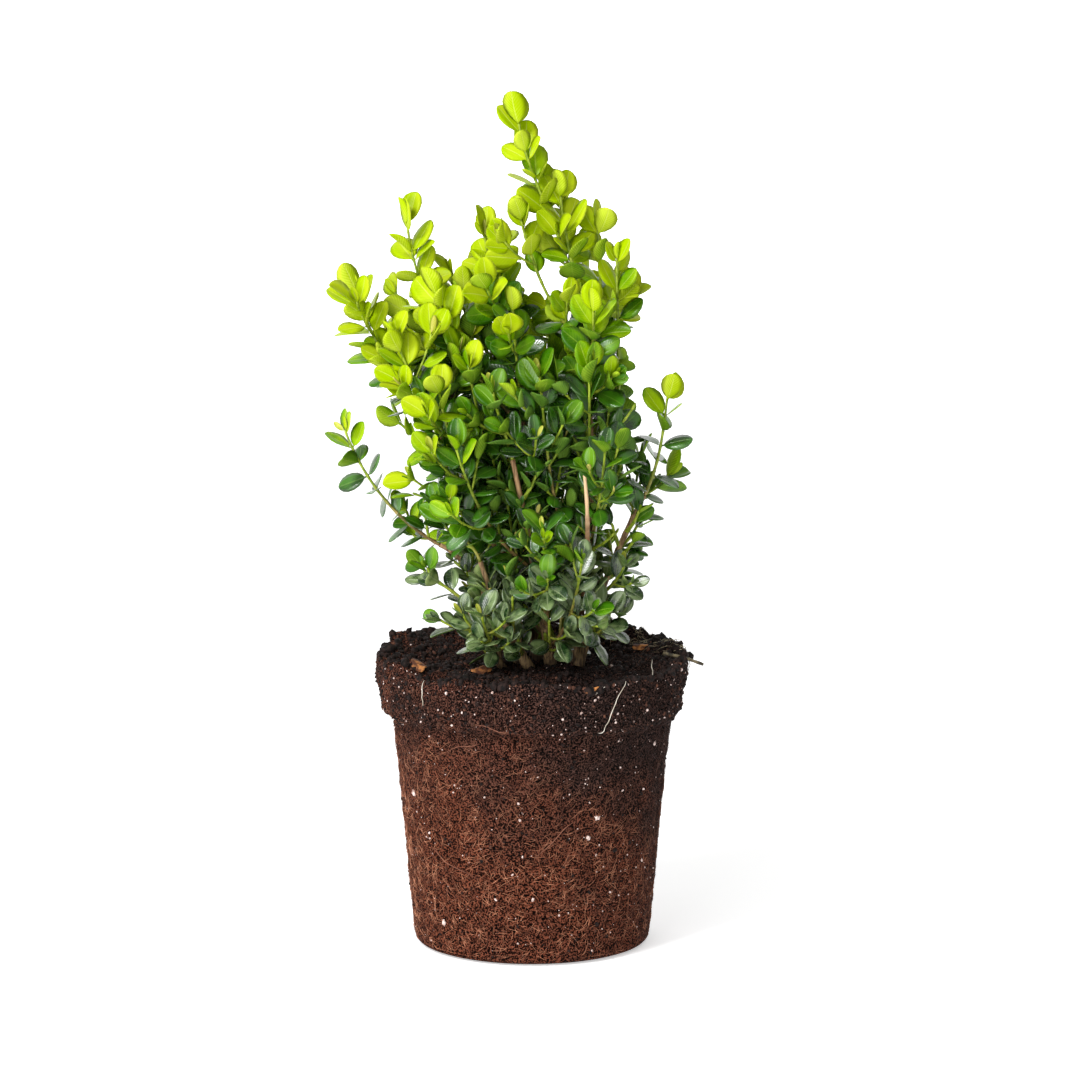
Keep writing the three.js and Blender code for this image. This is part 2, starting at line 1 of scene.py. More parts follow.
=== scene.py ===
# %% [markdown]
# # A young boxwood, lifted out of its pot
#
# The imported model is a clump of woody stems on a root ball, with sprays of coarse leaves. This
# lesson dresses it: each spray is grown again by the same rule with finer twigs and leaves of
# real size, the stems get their bark, and the earth gets its crumbs, roots and white grains.
# Sizes are in metres, in the frame's own axes: +Z up, and -Y towards the viewer.

# %% Load the frame
import json
import math
from collections import namedtuple

import bpy
import numpy as np
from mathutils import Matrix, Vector


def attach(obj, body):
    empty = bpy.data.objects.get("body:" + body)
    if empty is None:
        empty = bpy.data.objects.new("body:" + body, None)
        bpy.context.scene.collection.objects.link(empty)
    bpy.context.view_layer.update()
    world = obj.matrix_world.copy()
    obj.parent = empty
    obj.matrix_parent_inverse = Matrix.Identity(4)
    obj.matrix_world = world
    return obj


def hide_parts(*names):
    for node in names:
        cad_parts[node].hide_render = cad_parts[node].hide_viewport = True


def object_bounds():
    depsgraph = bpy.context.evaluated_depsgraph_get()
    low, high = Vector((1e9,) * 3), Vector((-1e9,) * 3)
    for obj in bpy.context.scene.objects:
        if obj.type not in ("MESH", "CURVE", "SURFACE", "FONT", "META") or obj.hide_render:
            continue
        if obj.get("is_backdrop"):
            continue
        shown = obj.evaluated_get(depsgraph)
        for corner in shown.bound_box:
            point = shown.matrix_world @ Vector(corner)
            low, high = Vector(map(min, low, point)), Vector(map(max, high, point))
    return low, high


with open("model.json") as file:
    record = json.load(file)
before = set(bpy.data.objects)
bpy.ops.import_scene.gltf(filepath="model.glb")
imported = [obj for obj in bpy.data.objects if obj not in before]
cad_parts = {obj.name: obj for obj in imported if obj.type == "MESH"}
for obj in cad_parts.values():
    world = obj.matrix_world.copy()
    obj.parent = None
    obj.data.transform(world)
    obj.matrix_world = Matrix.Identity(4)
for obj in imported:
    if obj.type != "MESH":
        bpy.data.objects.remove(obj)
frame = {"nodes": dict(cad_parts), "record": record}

cad_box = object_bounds()
slot_of = {row["node"]: row["material_slot"] for row in frame["record"]["subparts"]}
print(len(frame["nodes"]), "nodes in", [round(x, 3) for x in cad_box[1] - cad_box[0]], "m")

# %% [markdown]
# ## The camera
#
# A long lens from far away keeps the shrub's stems nearly parallel, as a studio picture does.
# The camera stands a little above the crown's middle and looks slightly down, so the near rim
# of the earth shows below the far one. Placing it by its height and its tilt is simpler than
# aiming it at a target.

# %% Camera
EYE = (0.0043, -1.6, 0.405)
LOOK_DOWN = math.radians(6.74)
LENS_MM = 100.67

camera = bpy.data.objects.new("camera", bpy.data.cameras.new("camera"))
camera.data.lens = LENS_MM
camera.location = EYE
camera.rotation_euler = (math.pi / 2 - LOOK_DOWN, 0, 0)
bpy.context.scene.collection.objects.link(camera)
bpy.context.scene.camera = camera
print("camera", EYE, "lens", LENS_MM)

# %% [markdown]
# ## Small helpers
#
# A curve, a mask or a surface is easiest to shape when its formula can be written once and
# used on a whole array of points. These few helpers are the words that the formulas below are
# written in.

# %% Arrays
NO_LENGTH = 1e-12
NOISE_TABLE = 4096
NOISE_KEYS = (73856093, 19349663, 83492791)


def unit(vectors):
    """Each vector divided by its length."""
    return vectors / np.maximum(np.linalg.norm(vectors, axis=-1, keepdims=True), NO_LENGTH)


def between(low, high, share):
    """low where share is 0, high where it is 1, and evenly mixed between."""
    return low + (high - low) * share


def ease(value, low, high):
    """0 below low, 1 above high, and 3 t^2 - 2 t^3 of the share t of the way between them."""
    t = np.clip((value - low) / (high - low), 0, 1)
    return t * t * (3 - 2 * t)


def grains(places, size, seed):
    """Value noise, -1 to 1: random numbers on a cubic grid of that size, and between them the
    eight numbers round a place, weighted by how near it is to each corner of its cell."""
    table = np.random.default_rng(seed).uniform(-1, 1, NOISE_TABLE)
    cell = np.floor(places / size).astype(np.int64)
    share = places / size - cell
    share = share * share * (3 - 2 * share)
    total = np.zeros(places.shape[:-1])
    for corner in np.ndindex(2, 2, 2):
        x, y, z = np.moveaxis(cell + corner, -1, 0)
        key = (x * NOISE_KEYS[0]) ^ (y * NOISE_KEYS[1]) ^ (z * NOISE_KEYS[2])
        weight = np.prod(np.where(corner, share, 1 - share), axis=-1)
        total += weight * table[key % NOISE_TABLE]
    return total


print("noise at the origin", grains(np.zeros((1, 3)), 0.01, 1).round(3))

# %% [markdown]
# A piece of the finished plant is one mesh: an array of points, a list of faces, and for each
# face the number of its finish. Its object stays at the origin, so its place is in its points,
# and it rides on the root body like the solids that it stands for.

# %% Pieces
def piece(name, points, faces, finishes, slot, stands_for, looks=None, patch=None):
    """Makes a mesh object from points and faces. stands_for lists the solids whose place it
    takes, looks is the number of each face's finish, and patch the place of each point on the
    piece's own flat pattern."""
    mesh = bpy.data.meshes.new(name)
    mesh.from_pydata(points.reshape(-1, 3), [], faces)
    for finish in finishes:
        mesh.materials.append(finish.material)
    if looks is not None:
        mesh.polygons.foreach_set("material_index", np.asarray(looks, np.int32))
    if patch is not None:
        corner = np.zeros(len(mesh.loops), np.int32)
        mesh.loops.foreach_get("vertex_index", corner)
        flat = mesh.uv_layers.new(name="blade")
        flat.uv.foreach_set("vector", patch.reshape(-1, 2)[corner].astype(np.float32).ravel())
    mesh.shade_smooth()
    mesh.update()
    made = bpy.data.objects.new(name, mesh)
    bpy.context.scene.collection.objects.link(made)
    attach(made, "root")
    if stands_for:
        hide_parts(*stands_for)
    print(f"{name}: {len(mesh.polygons)} faces")


def joined(parts):
    """Several (points, faces) as one: each part's corner numbers move past the points before."""
    points, faces = [], []
    for some, theirs in parts:
        before = sum(len(p) for p in points)
        points.append(some)
        faces += [[before + corner for corner in face] for face in theirs]
    return np.concatenate(points), faces


print("an edge after three points:", joined([(np.eye(3), []), (np.eye(3), [[0, 1]])])[1])

# %% [markdown]
# Twigs, stems and roots are all tubes. A tube is a ring of corners carried along a path. Rings
# need two directions square to the path, and taking them from one fixed vector keeps a gently
# bent tube from twisting.

# %% Tubes
def tubes(paths, radii, sides, fixed=(0, 1, 0)):
    """Tubes along many paths at once, of shape (tube, step, 3). Corner k of a ring is at
    centre + radius (cos a side + sin a back), with a = k turns / sides. Quads join the rings,
    and one face closes each end."""
    ahead = unit(np.gradient(paths, axis=1))
    side = unit(np.cross(fixed, ahead))
    back = np.cross(ahead, side)
    angle = 2 * np.pi * np.arange(sides)[:, None] / sides
    ring = np.cos(angle) * side[:, :, None] + np.sin(angle) * back[:, :, None]
    points = paths[:, :, None] + radii[:, :, None, None] * ring
    corner = np.arange(points[..., 0].size).reshape(points.shape[:3])
    turned = np.roll(corner, -1, axis=2)
    quads = np.stack([corner[:, :-1], turned[:, :-1], turned[:, 1:], corner[:, 1:]], -1)
    ends = np.concatenate([corner[:, 0, ::-1], corner[:, -1]])
    return points.reshape(-1, 3), quads.reshape(-1, 4).tolist() + ends.tolist()


post = np.array([[(0.0, 0.0, 0.0), (0.0, 0.0, 1.0)]])
print("a square post has", len(tubes(post, np.ones((1, 2)), 4)[1]), "faces")

# %% [markdown]
# ## Writing a finish
#
# A material is a graph of nodes, and a long graph is hard to read. A small class that wraps a
# socket lets a pattern be written as a sum of noises and distances, as it would be on paper.

# %% Sums of patterns
class Wire:
    """A node's output that can be added, multiplied and so on. Each step is a Math node."""

    def __init__(self, finish, socket):
        self.finish = finish
        self.socket = socket

    def math(self, operation, first, second):
        return self.finish.node("Math", {"operation": operation}, {0: first, 1: second})

    def __add__(self, other):
        return self.math("ADD", self, other)

    def __sub__(self, other):
        return self.math("SUBTRACT", self, other)

    def __rsub__(self, other):
        return self.math("SUBTRACT", other, self)

    def __mul__(self, other):
        return self.math("MULTIPLY", self, other)

    __radd__ = __add__
    __rmul__ = __mul__

    def size(self):
        return self.math("ABSOLUTE", self, 0.0)

    def wave(self):
        return self.math("SINE", self, 0.0)

    def ease(self, low, high):
        """0 below low, 1 above high, and a smooth step between."""
        ends = {"From Min": low, "From Max": high, "Value": self}
        return self.finish.node("MapRange", {"interpolation_type": "SMOOTHSTEP"}, ends)


# %% [markdown]
# A finish starts from the Principled shader that every new material has, and one method makes
# all its other nodes. What is the same all over a piece is set on the shader's own sockets, and
# only what changes over the surface is linked, so that it can be baked when the model is
# exported. Most patterns read the place on the object, which needs no unwrapping.

# %% A finish
class Finish:
    """A material. Its nodes are made by one method, from a type, settings and inputs."""

    def __init__(self, name, **constants):
        self.material = bpy.data.materials.new(name)
        self.material.use_nodes = True
        self.tree = self.material.node_tree
        self.shader = self.tree.nodes["Principled BSDF"]
        self.feed(**constants)

    def put(self, value, socket):
        if isinstance(value, Wire):
            self.tree.links.new(value.socket, socket)
        else:
            socket.default_value = value

    def feed(self, **values):
        """Sets or links sockets of the shader. An underscore stands for a space."""
        for name, value in values.items():
            self.put(value, self.shader.inputs[name.replace("_", " ")])

    def node(self, kind, settings, inputs, out=0):
        made = self.tree.nodes.new("ShaderNode" + kind)
        for name, value in settings.items():
            setattr(made, name, value)
        for name, value in inputs.items():
            self.put(value, made.inputs[name])
        return Wire(self, made.outputs[out])

    def place(self):
        """The place on the object, in metres."""
        return self.node("TexCoord", {}, {}, out="Object")

    def height(self):
        return self.node("SeparateXYZ", {}, {0: self.place()}, out=2)

    def sideways(self):
        return self.node("SeparateXYZ", {}, {0: self.place()}, out=0)

    def patch(self):
        """The two distances on the piece's own flat pattern."""
        flat = self.node("UVMap", {"uv_map": "blade"}, {})
        return [self.node("SeparateXYZ", {}, {0: flat}, out=side) for side in (0, 1)]

    def noise(self, scale, detail=3.0):
        """A cloudy pattern round 0.5, with that many clouds in a metre."""
        inputs = {"Vector": self.place(), "Scale": scale, "Detail": detail}
        return self.node("TexNoise", {}, inputs)

    def mix(self, first, second, share):
        """The first colour where share is 0, and the second where it is 1."""
        return self.node("Mix", {"data_type": "RGBA"}, {0: share, 6: first, 7: second}, out=2)

    def relief(self, height, depth):
        """Feeds the shader's normal from a height, with a depth in metres."""
        inputs = {"Height": height, "Distance": depth, "Strength": 1.0}
        self.feed(Normal=self.node("Bump", {}, inputs))


# %% [markdown]
# A colour is easiest to choose as a screen shows it, where 128 looks half-way between black and
# white. A shader counts light instead, and there the same grey is only about a fifth of white.
# So every colour is written the screen's way and turned into light once.

# %% Colours
def paint(red, green, blue):
    """A colour as a screen shows it, 0 to 255, as the linear numbers that a shader uses: the
    standard screen curve, which is a power of 2.4 with a straight piece near black."""
    share = np.array([red, green, blue]) / 255
    linear = np.where(share > 0.04045, ((share + 0.055) / 1.055) ** 2.4, share / 12.92)
    return (*linear.tolist(), 1.0)


print("mid grey is", round(paint(128, 128, 128)[0], 3))

# %% [markdown]
# ## The root ball
#
# The earth was moulded by a nursery pot: a wall that widens upwards, a collar where the pot was
# wider, and a ragged top. The form is a profile turned round the axis, with the same named
# sizes as the solid. The top then follows the height of the ground, which is flat round the
# stems, rises to the rim and has a hollow at the front.

# %% Sizes of the root ball
FOOT_RADIUS = 0.063
WALL_TOP_RADIUS = 0.074
COLLAR_FOOT_HEIGHT = 0.124
COLLAR_FOOT_RADIUS = 0.080
COLLAR_RADIUS = 0.0825
RIM_HEIGHT = 0.1555
RIM_RADIUS = 0.0785
RIM_BLEND = 0.008
RIM_SWELL = 0.006
RIM_SWELL_BEARING = math.radians(95)
RIM_LUMPS = 0.0016
EDGE = 0.002
GROUND_HEIGHT = 0.148
GROUND_RADIUS = 0.038
FLAT_BLEND = 0.008
HOLLOW = {"x": 0.036, "y": -0.046, "depth": 0.008, "width": 0.017}


def earth_height(x, y):
    """The ground is level round the stems. Towards the rim it rises by an even step, a swell on
    one side and lumps, and a bell-shaped hollow is taken from it."""
    radius = np.hypot(x, y)
    bearing = np.arctan2(y, x)
    to_rim = ease(radius, GROUND_RADIUS, COLLAR_RADIUS)
    swell = RIM_SWELL * np.cos(bearing - RIM_SWELL_BEARING)
    lumps = RIM_LUMPS * (np.sin(7 * bearing + 1) + np.sin(11 * bearing + 5 * to_rim))
    away = np.hypot(x - HOLLOW["x"], y - HOLLOW["y"]) / HOLLOW["width"]
    hollow = HOLLOW["depth"] * np.exp(-away * away / 2)
    off_flat = ease(radius, GROUND_RADIUS, GROUND_RADIUS + FLAT_BLEND)
    rise = RIM_HEIGHT - GROUND_HEIGHT + swell + lumps
    return GROUND_HEIGHT + to_rim * rise - off_flat * hollow


print("ground at the hollow", earth_height(HOLLOW["x"], HOLLOW["y"]).round(4))

# %% [markdown]
# Potting earth is loose at the top, where it crumbles, and firm on the wall, where a felt of
# roots holds it. Three sizes of noise push the surface in and out along its own outward
# direction, and their depth follows that: deep at the top, shallow on the wall, none below.
# Round the rim a coarser noise adds clods, and its hollows are cut short so that it only heaps.

# %% The surface of the earth
RINGS_APART = 0.0018
COLUMNS = 290
EARTH_NOISES = [
    # depth, size of a grain, seed
    (0.0010, 0.012, 1),
    (0.0011, 0.0045, 2),
    (0.0007, 0.0021, 3),
]
FIRM_WALL = 0.42
LOOSE_HEIGHTS = (0.10, 0.132)
LEVEL_FOOT = 0.006
CLOD_HEIGHTS = (0.142, 0.152)
CLOD_RADII = (0.06, 0.076)
CLOD_SIZE, CLOD_RISE, CLOD_HOLLOW = 0.008, 0.0024, -0.3
PROFILE = np.array([
    (0.004, 0),
    (FOOT_RADIUS - EDGE, 0),
    (FOOT_RADIUS, EDGE),
    ((FOOT_RADIUS + WALL_TOP_RADIUS) / 2, COLLAR_FOOT_HEIGHT / 2),
    (WALL_TOP_RADIUS, COLLAR_FOOT_HEIGHT - EDGE),
    (COLLAR_FOOT_RADIUS, COLLAR_FOOT_HEIGHT + EDGE),
    (COLLAR_RADIUS, RIM_HEIGHT - RIM_BLEND),
    (COLLAR_RADIUS - EDGE / 2, RIM_HEIGHT - EDGE),
    (RIM_RADIUS, RIM_HEIGHT),
    (0.001, RIM_HEIGHT),
])
walked = np.r_[0, np.cumsum(np.linalg.norm(np.diff(PROFILE, axis=0), axis=1))]
ring_at = np.linspace(0, walked[-1], round(walked[-1] / RINGS_APART))
ring_radius, ring_height = [np.interp(ring_at, walked, side) for side in PROFILE.T]
ring_out = unit(np.stack([np.gradient(ring_height), -np.gradient(ring_radius)], 1))
ring_out = unit(sum(np.roll(ring_out, k, axis=0) for k in (-1, 0, 1)))

bearing = 2 * np.pi * np.arange(COLUMNS) / COLUMNS
around = np.stack([np.cos(bearing), np.sin(bearing)], 1)
ball = np.concatenate([
    ring_radius[:, None, None] * around,
    np.broadcast_to(ring_height[:, None, None], (len(ring_at), COLUMNS, 1)),
], 2)
ball_out = np.concatenate([
    ring_out[:, :1, None] * around,
    np.broadcast_to(ring_out[:, 1:, None], (len(ring_at), COLUMNS, 1)),
], 2)
on_top = ease(ball[..., 2], RIM_HEIGHT - RIM_BLEND, RIM_HEIGHT)
ball[..., 2] = between(ball[..., 2], earth_height(ball[..., 0], ball[..., 1]), on_top)

up, out_from_axis = ball[..., 2], np.hypot(ball[..., 0], ball[..., 1])
loose = between(FIRM_WALL, 1.0, ease(up, *LOOSE_HEIGHTS)) * ease(up, 0.0, LEVEL_FOOT)
cloddy = ease(up, *CLOD_HEIGHTS) * ease(out_from_axis, *CLOD_RADII)
push = loose * sum(depth * grains(ball, size, seed) for depth, size, seed in EARTH_NOISES)
push += cloddy * CLOD_RISE * np.maximum(grains(ball, CLOD_SIZE, 4), CLOD_HOLLOW)
ball += push[..., None] * ball_out
print("root ball", ball.shape[:2], "rings and columns, lowest", ball[..., 2].min())

# %% [markdown]
# Roots, crumbs and grains all lie on that surface, so they need to know where it is. A place
# on it is a bearing and a distance along the profile, and between the rings and columns of the
# grid the four points round it are mixed.

# %% Places on the earth
def on_ball(turn, along, grid):
    """The grid's value at a bearing and a distance along the profile: the four points round
    that place, mixed by how near each is."""
    column = turn / (2 * np.pi) * COLUMNS
    ring = np.interp(along, ring_at, np.arange(len(ring_at)))
    c, r = np.floor(column).astype(int), np.minimum(ring.astype(int), len(ring_at) - 2)
    across, up = (column - c)[..., None], (ring - r)[..., None]
    low = between(grid[r, c % COLUMNS], grid[r, (c + 1) % COLUMNS], across)
    high = between(grid[r + 1, c % COLUMNS], grid[r + 1, (c + 1) % COLUMNS], across)
    return between(low, high, up)


def along_at(height):
    """How far along the profile the wall reaches a height."""
    wall = ring_at[ring_height < RIM_HEIGHT - EDGE]
    return np.interp(height, ring_height[: len(wall)], wall)


COLLAR_FOOT_ALONG = along_at(COLLAR_FOOT_HEIGHT)
RIM_ALONG = along_at(RIM_HEIGHT - EDGE)
print("the collar's foot is", COLLAR_FOOT_ALONG.round(4), "m along the profile")

# %% [markdown]
# Wet peat is almost black. The felt of roots turns it rust-brown, more towards the foot and in
# uneven clouds. The side is painted shade: the right, away from the light, is painted black and
# the left rustier. So the finish mixes a black-brown and a rust by a mask that is height, side
# and noise together, and a fine noise breaks both into grains.

# %% Finish of the earth
RUST_CLOUDS = 34.0
RUST_HEIGHTS = (0.035, 0.14)
RUST_LOW_DOWN, RUST_IN_CLOUDS, RUST_LEFT_PAINTED_SHADE_RIGHT, RUST_LESS = 0.72, 1.15, 4.4, 0.5
RUST_STEP = (-0.15, 0.95)
EARTH_GRAINS, EARTH_DUST = 1150.0, 1900.0


def rust_and_painted_shade_mask(finish):
    """How rusty the earth is, 0 to 1, with painted shade on the right: less with height, less
    towards the right, more in clouds, each by its own weight, and a smooth step over their sum."""
    low_down = 1.0 - finish.height().ease(*RUST_HEIGHTS)
    clouds = finish.noise(RUST_CLOUDS)
    # the sideways term is painted shade: darker to the right, away from the light
    rust = low_down * RUST_LOW_DOWN + clouds * RUST_IN_CLOUDS - finish.sideways() * RUST_LEFT_PAINTED_SHADE_RIGHT
    return (rust - RUST_LESS).ease(*RUST_STEP)


earth = Finish("earth", Specular_IOR_Level=0.05)
speckle = earth.noise(EARTH_GRAINS, 4.0)
ground = earth.mix(paint(7, 4, 3), paint(84, 63, 57), speckle.ease(0.45, 0.66))
felt = earth.mix(paint(8, 1, 0), paint(130, 74, 54), speckle.ease(0.47, 0.60))
earth.feed(Base_Color=earth.mix(ground, felt, rust_and_painted_shade_mask(earth)), Roughness=0.85 + speckle * 0.15)
earth.relief(speckle + earth.noise(EARTH_DUST, 2.0) * 0.4, 0.0018)

corner = np.arange(ball[..., 0].size).reshape(ball.shape[:2])
turned = np.roll(corner, -1, axis=1)
wall_faces = np.stack([corner[:-1], turned[:-1], turned[1:], corner[1:]], -1).reshape(-1, 4)
caps = [corner[0, ::-1].tolist(), corner[-1].tolist()]
piece("root_ball_earth", ball, wall_faces.tolist() + caps, [earth], "root_ball", ["root_ball"])

# %% [markdown]
# Crumbs of peat and grains of white perlite are small lumps, each a twenty-sided solid pulled
# out of shape. Thousands of them are one array: the same twelve corners, turned, stretched and
# moved for every lump. About half of most lumps is sunk, so that they are seated in the earth.

# %% Lumps
GOLDEN = (1 + 5 ** 0.5) / 2
LUMP_CORNERS = unit(np.array([
    (-1, GOLDEN, 0), (1, GOLDEN, 0), (-1, -GOLDEN, 0), (1, -GOLDEN, 0),
    (0, -1, GOLDEN), (0, 1, GOLDEN), (0, -1, -GOLDEN), (0, 1, -GOLDEN),
    (GOLDEN, 0, -1), (GOLDEN, 0, 1), (-GOLDEN, 0, -1), (-GOLDEN, 0, 1),
]))
LUMP_FACES = np.array([
    (0, 11, 5), (0, 5, 1), (0, 1, 7), (0, 7, 10), (0, 10, 11),
    (1, 5, 9), (5, 11, 4), (11, 10, 2), (10, 7, 6), (7, 1, 8),
    (3, 9, 4), (3, 4, 2), (3, 2, 6), (3, 6, 8), (3, 8, 9),
    (4, 9, 5), (2, 4, 11), (6, 2, 10), (8, 6, 7), (9, 8, 1),
])


def lumps(places, sizes, uneven, seed):
    """Lumps at places: the corners of a twenty-sided solid, stretched by a random share along
    each axis, jogged by a smaller one of their size, and turned at random."""
    chance = np.random.default_rng(seed)
    count = len(places)
    turn = np.linalg.qr(chance.normal(size=(count, 3, 3)))[0]
    turn *= np.sign(np.linalg.det(turn))[:, None, None]
    stretch = 1 + uneven * chance.uniform(-1, 1, (count, 1, 3))
    jog = 1 + 0.6 * uneven * chance.uniform(-1, 1, (count, len(LUMP_CORNERS), 1))
    shape = LUMP_CORNERS * stretch * jog * sizes[:, None, None]
    points = places[:, None] + np.einsum("nij,nkj->nki", turn, shape)
    faces = LUMP_FACES + len(LUMP_CORNERS) * np.arange(count)[:, None, None]
    return points.reshape(-1, 3), faces.reshape(-1, 3).tolist()


def strewn(count, low, high, seed):
    """Random bearings and distances along the profile between two of its places, as many on
    each square millimetre: the distance is drawn with its ring's radius for weight."""
    chance = np.random.default_rng(seed)
    spread = np.linspace(low, high, 400)
    weight = np.cumsum(np.interp(spread, ring_at, ring_radius))
    along = np.interp(chance.uniform(0, weight[-1], count), weight, spread)
    return chance.uniform(0, 2 * np.pi, count), along


print("a lump has", len(LUMP_FACES), "faces")

# %% [markdown]
# The crumbs are strewn thinly on the wall, closer on the collar and thickest on the top, with a
# bank of larger ones along the rim. So each kind is strewn in zones, each with its own count,
# size and depth of seat. Most crumbs of a zone are small and a few are large, as in any earth
# that has been rubbed apart.

# %% Zones of crumbs
TOP_END = walked[-1] - 0.004
WALL_FOOT = along_at(0.004)
SIZES_VARY = 0.45
LARGEST = 2.3
UNEVEN = 0.38


def crumb_field(zones, seed):
    """Lumps strewn over zones (count, low, high, mean size, sink). A size is the mean times e
    to the power of a random number, and each lump is sunk by a share of its size."""
    parts = []
    for k, (count, low, high, size, sink) in enumerate(zones):
        turn, along = strewn(count, low, high, seed + k)
        chance = np.random.default_rng(seed + 50 + k)
        sizes = size * np.exp(SIZES_VARY * chance.normal(size=count))
        sizes = np.minimum(sizes, LARGEST * size)
        out = on_ball(turn, along, ball_out)
        centre = on_ball(turn, along, ball) - (sink * sizes)[:, None] * out
        parts.append(lumps(centre, sizes, UNEVEN, seed + 90 + k))
    return joined(parts)


# %% [markdown]
# Two tones tell crumbs from the earth below: black ones of peat and fewer brown ones of rotted
# bark. Both are dull, with fine flecks, and the flecks are also their relief.

# %% Black and brown crumbs
CRUMB_FLECKS = 500.0


def crumb_finish(name, dark, light):
    """Two tones in fine flecks, dull, and rough to the touch."""
    crumb = Finish(name, Specular_IOR_Level=0.15)
    fleck = crumb.noise(CRUMB_FLECKS)
    crumb.feed(Base_Color=crumb.mix(dark, light, fleck.ease(0.35, 0.65)))
    crumb.feed(Roughness=0.65 + fleck * 0.3)
    crumb.relief(fleck, 0.0004)
    return crumb


black_zones = [
    (600, WALL_FOOT, COLLAR_FOOT_ALONG, 0.0005, 0.2),
    (1300, COLLAR_FOOT_ALONG, RIM_ALONG, 0.0006, 0.1),
    (2600, RIM_ALONG, TOP_END, 0.0010, 0.0),
    (260, RIM_ALONG - 0.003, RIM_ALONG + 0.012, 0.0015, -0.3),
]
brown_zones = [
    (500, WALL_FOOT, COLLAR_FOOT_ALONG, 0.00045, 0.2),
    (1000, COLLAR_FOOT_ALONG, RIM_ALONG, 0.0005, 0.0),
    (800, RIM_ALONG, TOP_END, 0.0006, 0.0),
]
CRUMBS = [
    ("crumbs_black", black_zones, 200, paint(11, 8, 7), paint(42, 30, 27)),
    ("crumbs_brown", brown_zones, 400, paint(48, 30, 24), paint(98, 64, 50)),
]
for name, zones, seed, dark, light in CRUMBS:
    points, faces = crumb_field(zones, seed)
    piece(name, points, faces, [crumb_finish(name, dark, light)], "root_ball", [])

# %% [markdown]
# Perlite is rock that heat has puffed up, and growers mix it into earth to keep it loose. Its
# grains are the only hard white on the ball, so the eye finds them though most are well under
# a millimetre across. Only the last zone has larger ones. Earth has stained their pores tan.

# %% White grains
PERLITE_PORES = 900.0
PERLITE_FOOT = along_at(0.006)
perlite = Finish("perlite", Specular_IOR_Level=0.4, Roughness=0.75)
pores = perlite.noise(PERLITE_PORES)
chalk = perlite.mix(paint(150, 118, 106), paint(236, 214, 206), pores.ease(0.3, 0.6))
perlite.feed(Base_Color=chalk)
perlite.relief(pores, 0.0005)
white_zones = [
    (520, PERLITE_FOOT, COLLAR_FOOT_ALONG, 0.00032, 0.0),
    (330, COLLAR_FOOT_ALONG, RIM_ALONG, 0.00034, 0.0),
    (60, RIM_ALONG, TOP_END, 0.0005, 0.1),
    (40, PERLITE_FOOT, RIM_ALONG, 0.0008, 0.3),
]
points, faces = crumb_field(white_zones, 600)
piece("perlite_grains", points, faces, [perlite], "root_ball", [])

# %% [markdown]
# ## Roots
#
# Against the pot's wall the roots grew into a felt: thousands of fine rust-coloured threads
# that curl in every direction. Each is a short walk over the surface. A walk has a heading
# that turns steadily and wavers, and at both ends the thread dives into the earth, so that
# none is left hanging.

# %% A thread on the earth
THREAD_STEPS = 4
THREAD_FOOT = along_at(0.003)
THREAD_WAVES = 1.3
ARCH_VARIES = (0.4, 1.6)
END_RADIUS = 0.45
LEAST_GIRTH = 0.01


def threads(turn, along, heading, length, curl, waver, radius, lift, seed, steps=THREAD_STEPS):
    """Paths over the surface and their radii. A thread's heading is its first one plus curl
    times the share walked plus a sine, each step moves by its cosine round the ball and by its
    sine along the profile, and its height over the surface is an arch that ends below it."""
    chance = np.random.default_rng(seed)
    count = len(turn)
    share = np.linspace(0, 1, steps)
    phase = chance.uniform(0, 2 * np.pi, (count, 1))
    wave = waver * np.sin(2 * np.pi * THREAD_WAVES * share + phase)
    way = heading[:, None] + curl[:, None] * share + wave
    stride = (length / (steps - 1))[:, None]
    rise = np.cumsum(np.sin(way) * stride, axis=1)
    ups = np.clip(along[:, None] + rise, THREAD_FOOT, TOP_END)
    girth = np.maximum(np.interp(ups, ring_at, ring_radius), LEAST_GIRTH)
    turns = turn[:, None] + np.cumsum(np.cos(way) * stride / girth, axis=1)
    out = unit(on_ball(turns, ups, ball_out))
    highest = lift * np.sin(np.pi * share) ** 0.5
    arch = highest * chance.uniform(*ARCH_VARIES, (count, 1)) - radius
    paths = on_ball(turns, ups, ball) + arch[..., None] * out
    taper = radius * between(1.0, END_RADIUS, np.abs(2 * share - 1) ** 3)
    return paths, np.broadcast_to(taper, paths.shape[:2]), out


print("a thread has", THREAD_STEPS, "rings")

# %% [markdown]
# One felt is strewn over a zone like the crumbs. Its threads are three-sided tubes of three
# steps, because they are a fifth of a millimetre thick and there are thousands. There are two
# felts: a rust-coloured one over the whole wall, and a browner one of thicker threads that
# reaches the top. Where the earth below is black the threads are darker too, and on the right
# side, where that black is painted shade, their darker colour is painted shade as well.

# %% Root felt
HEADINGS_VARY = 1.2
LENGTHS_VARY = 0.4
CURLS_VARY = 0.4
FELT_WAVER = 0.14
FELT_SIDES = 3


def felt_of(count, low, high, length, radius, lift, seed):
    """A felt: threads strewn between two places on the profile, more of them level than
    upright. A length is the mean times e to the power of a random number."""
    chance = np.random.default_rng(seed)
    turn, along = strewn(count, low, high, seed)
    heading = chance.normal(0, HEADINGS_VARY, count) + np.pi * chance.integers(0, 2, count)
    lengths = length * np.exp(LENGTHS_VARY * chance.normal(size=count))
    curl = chance.normal(0, CURLS_VARY, count)
    paths, radii, out = threads(
        turn, along, heading, lengths, curl, FELT_WAVER, radius, lift, seed + 1)
    return tubes(paths, radii, FELT_SIDES, out)


def felt_finish(name, dark, light, shaded):
    """Rust where the earth below is rusty, and the shaded colour where it is black. On the right
    that black is painted shade, and so is the shaded colour.
    """
    finish = Finish(name, Specular_IOR_Level=0.2, Roughness=0.65)
    tone = finish.mix(dark, light, finish.noise(160.0).ease(0.35, 0.65))
    finish.feed(Base_Color=finish.mix(shaded, tone, rust_and_painted_shade_mask(finish)))
    return finish


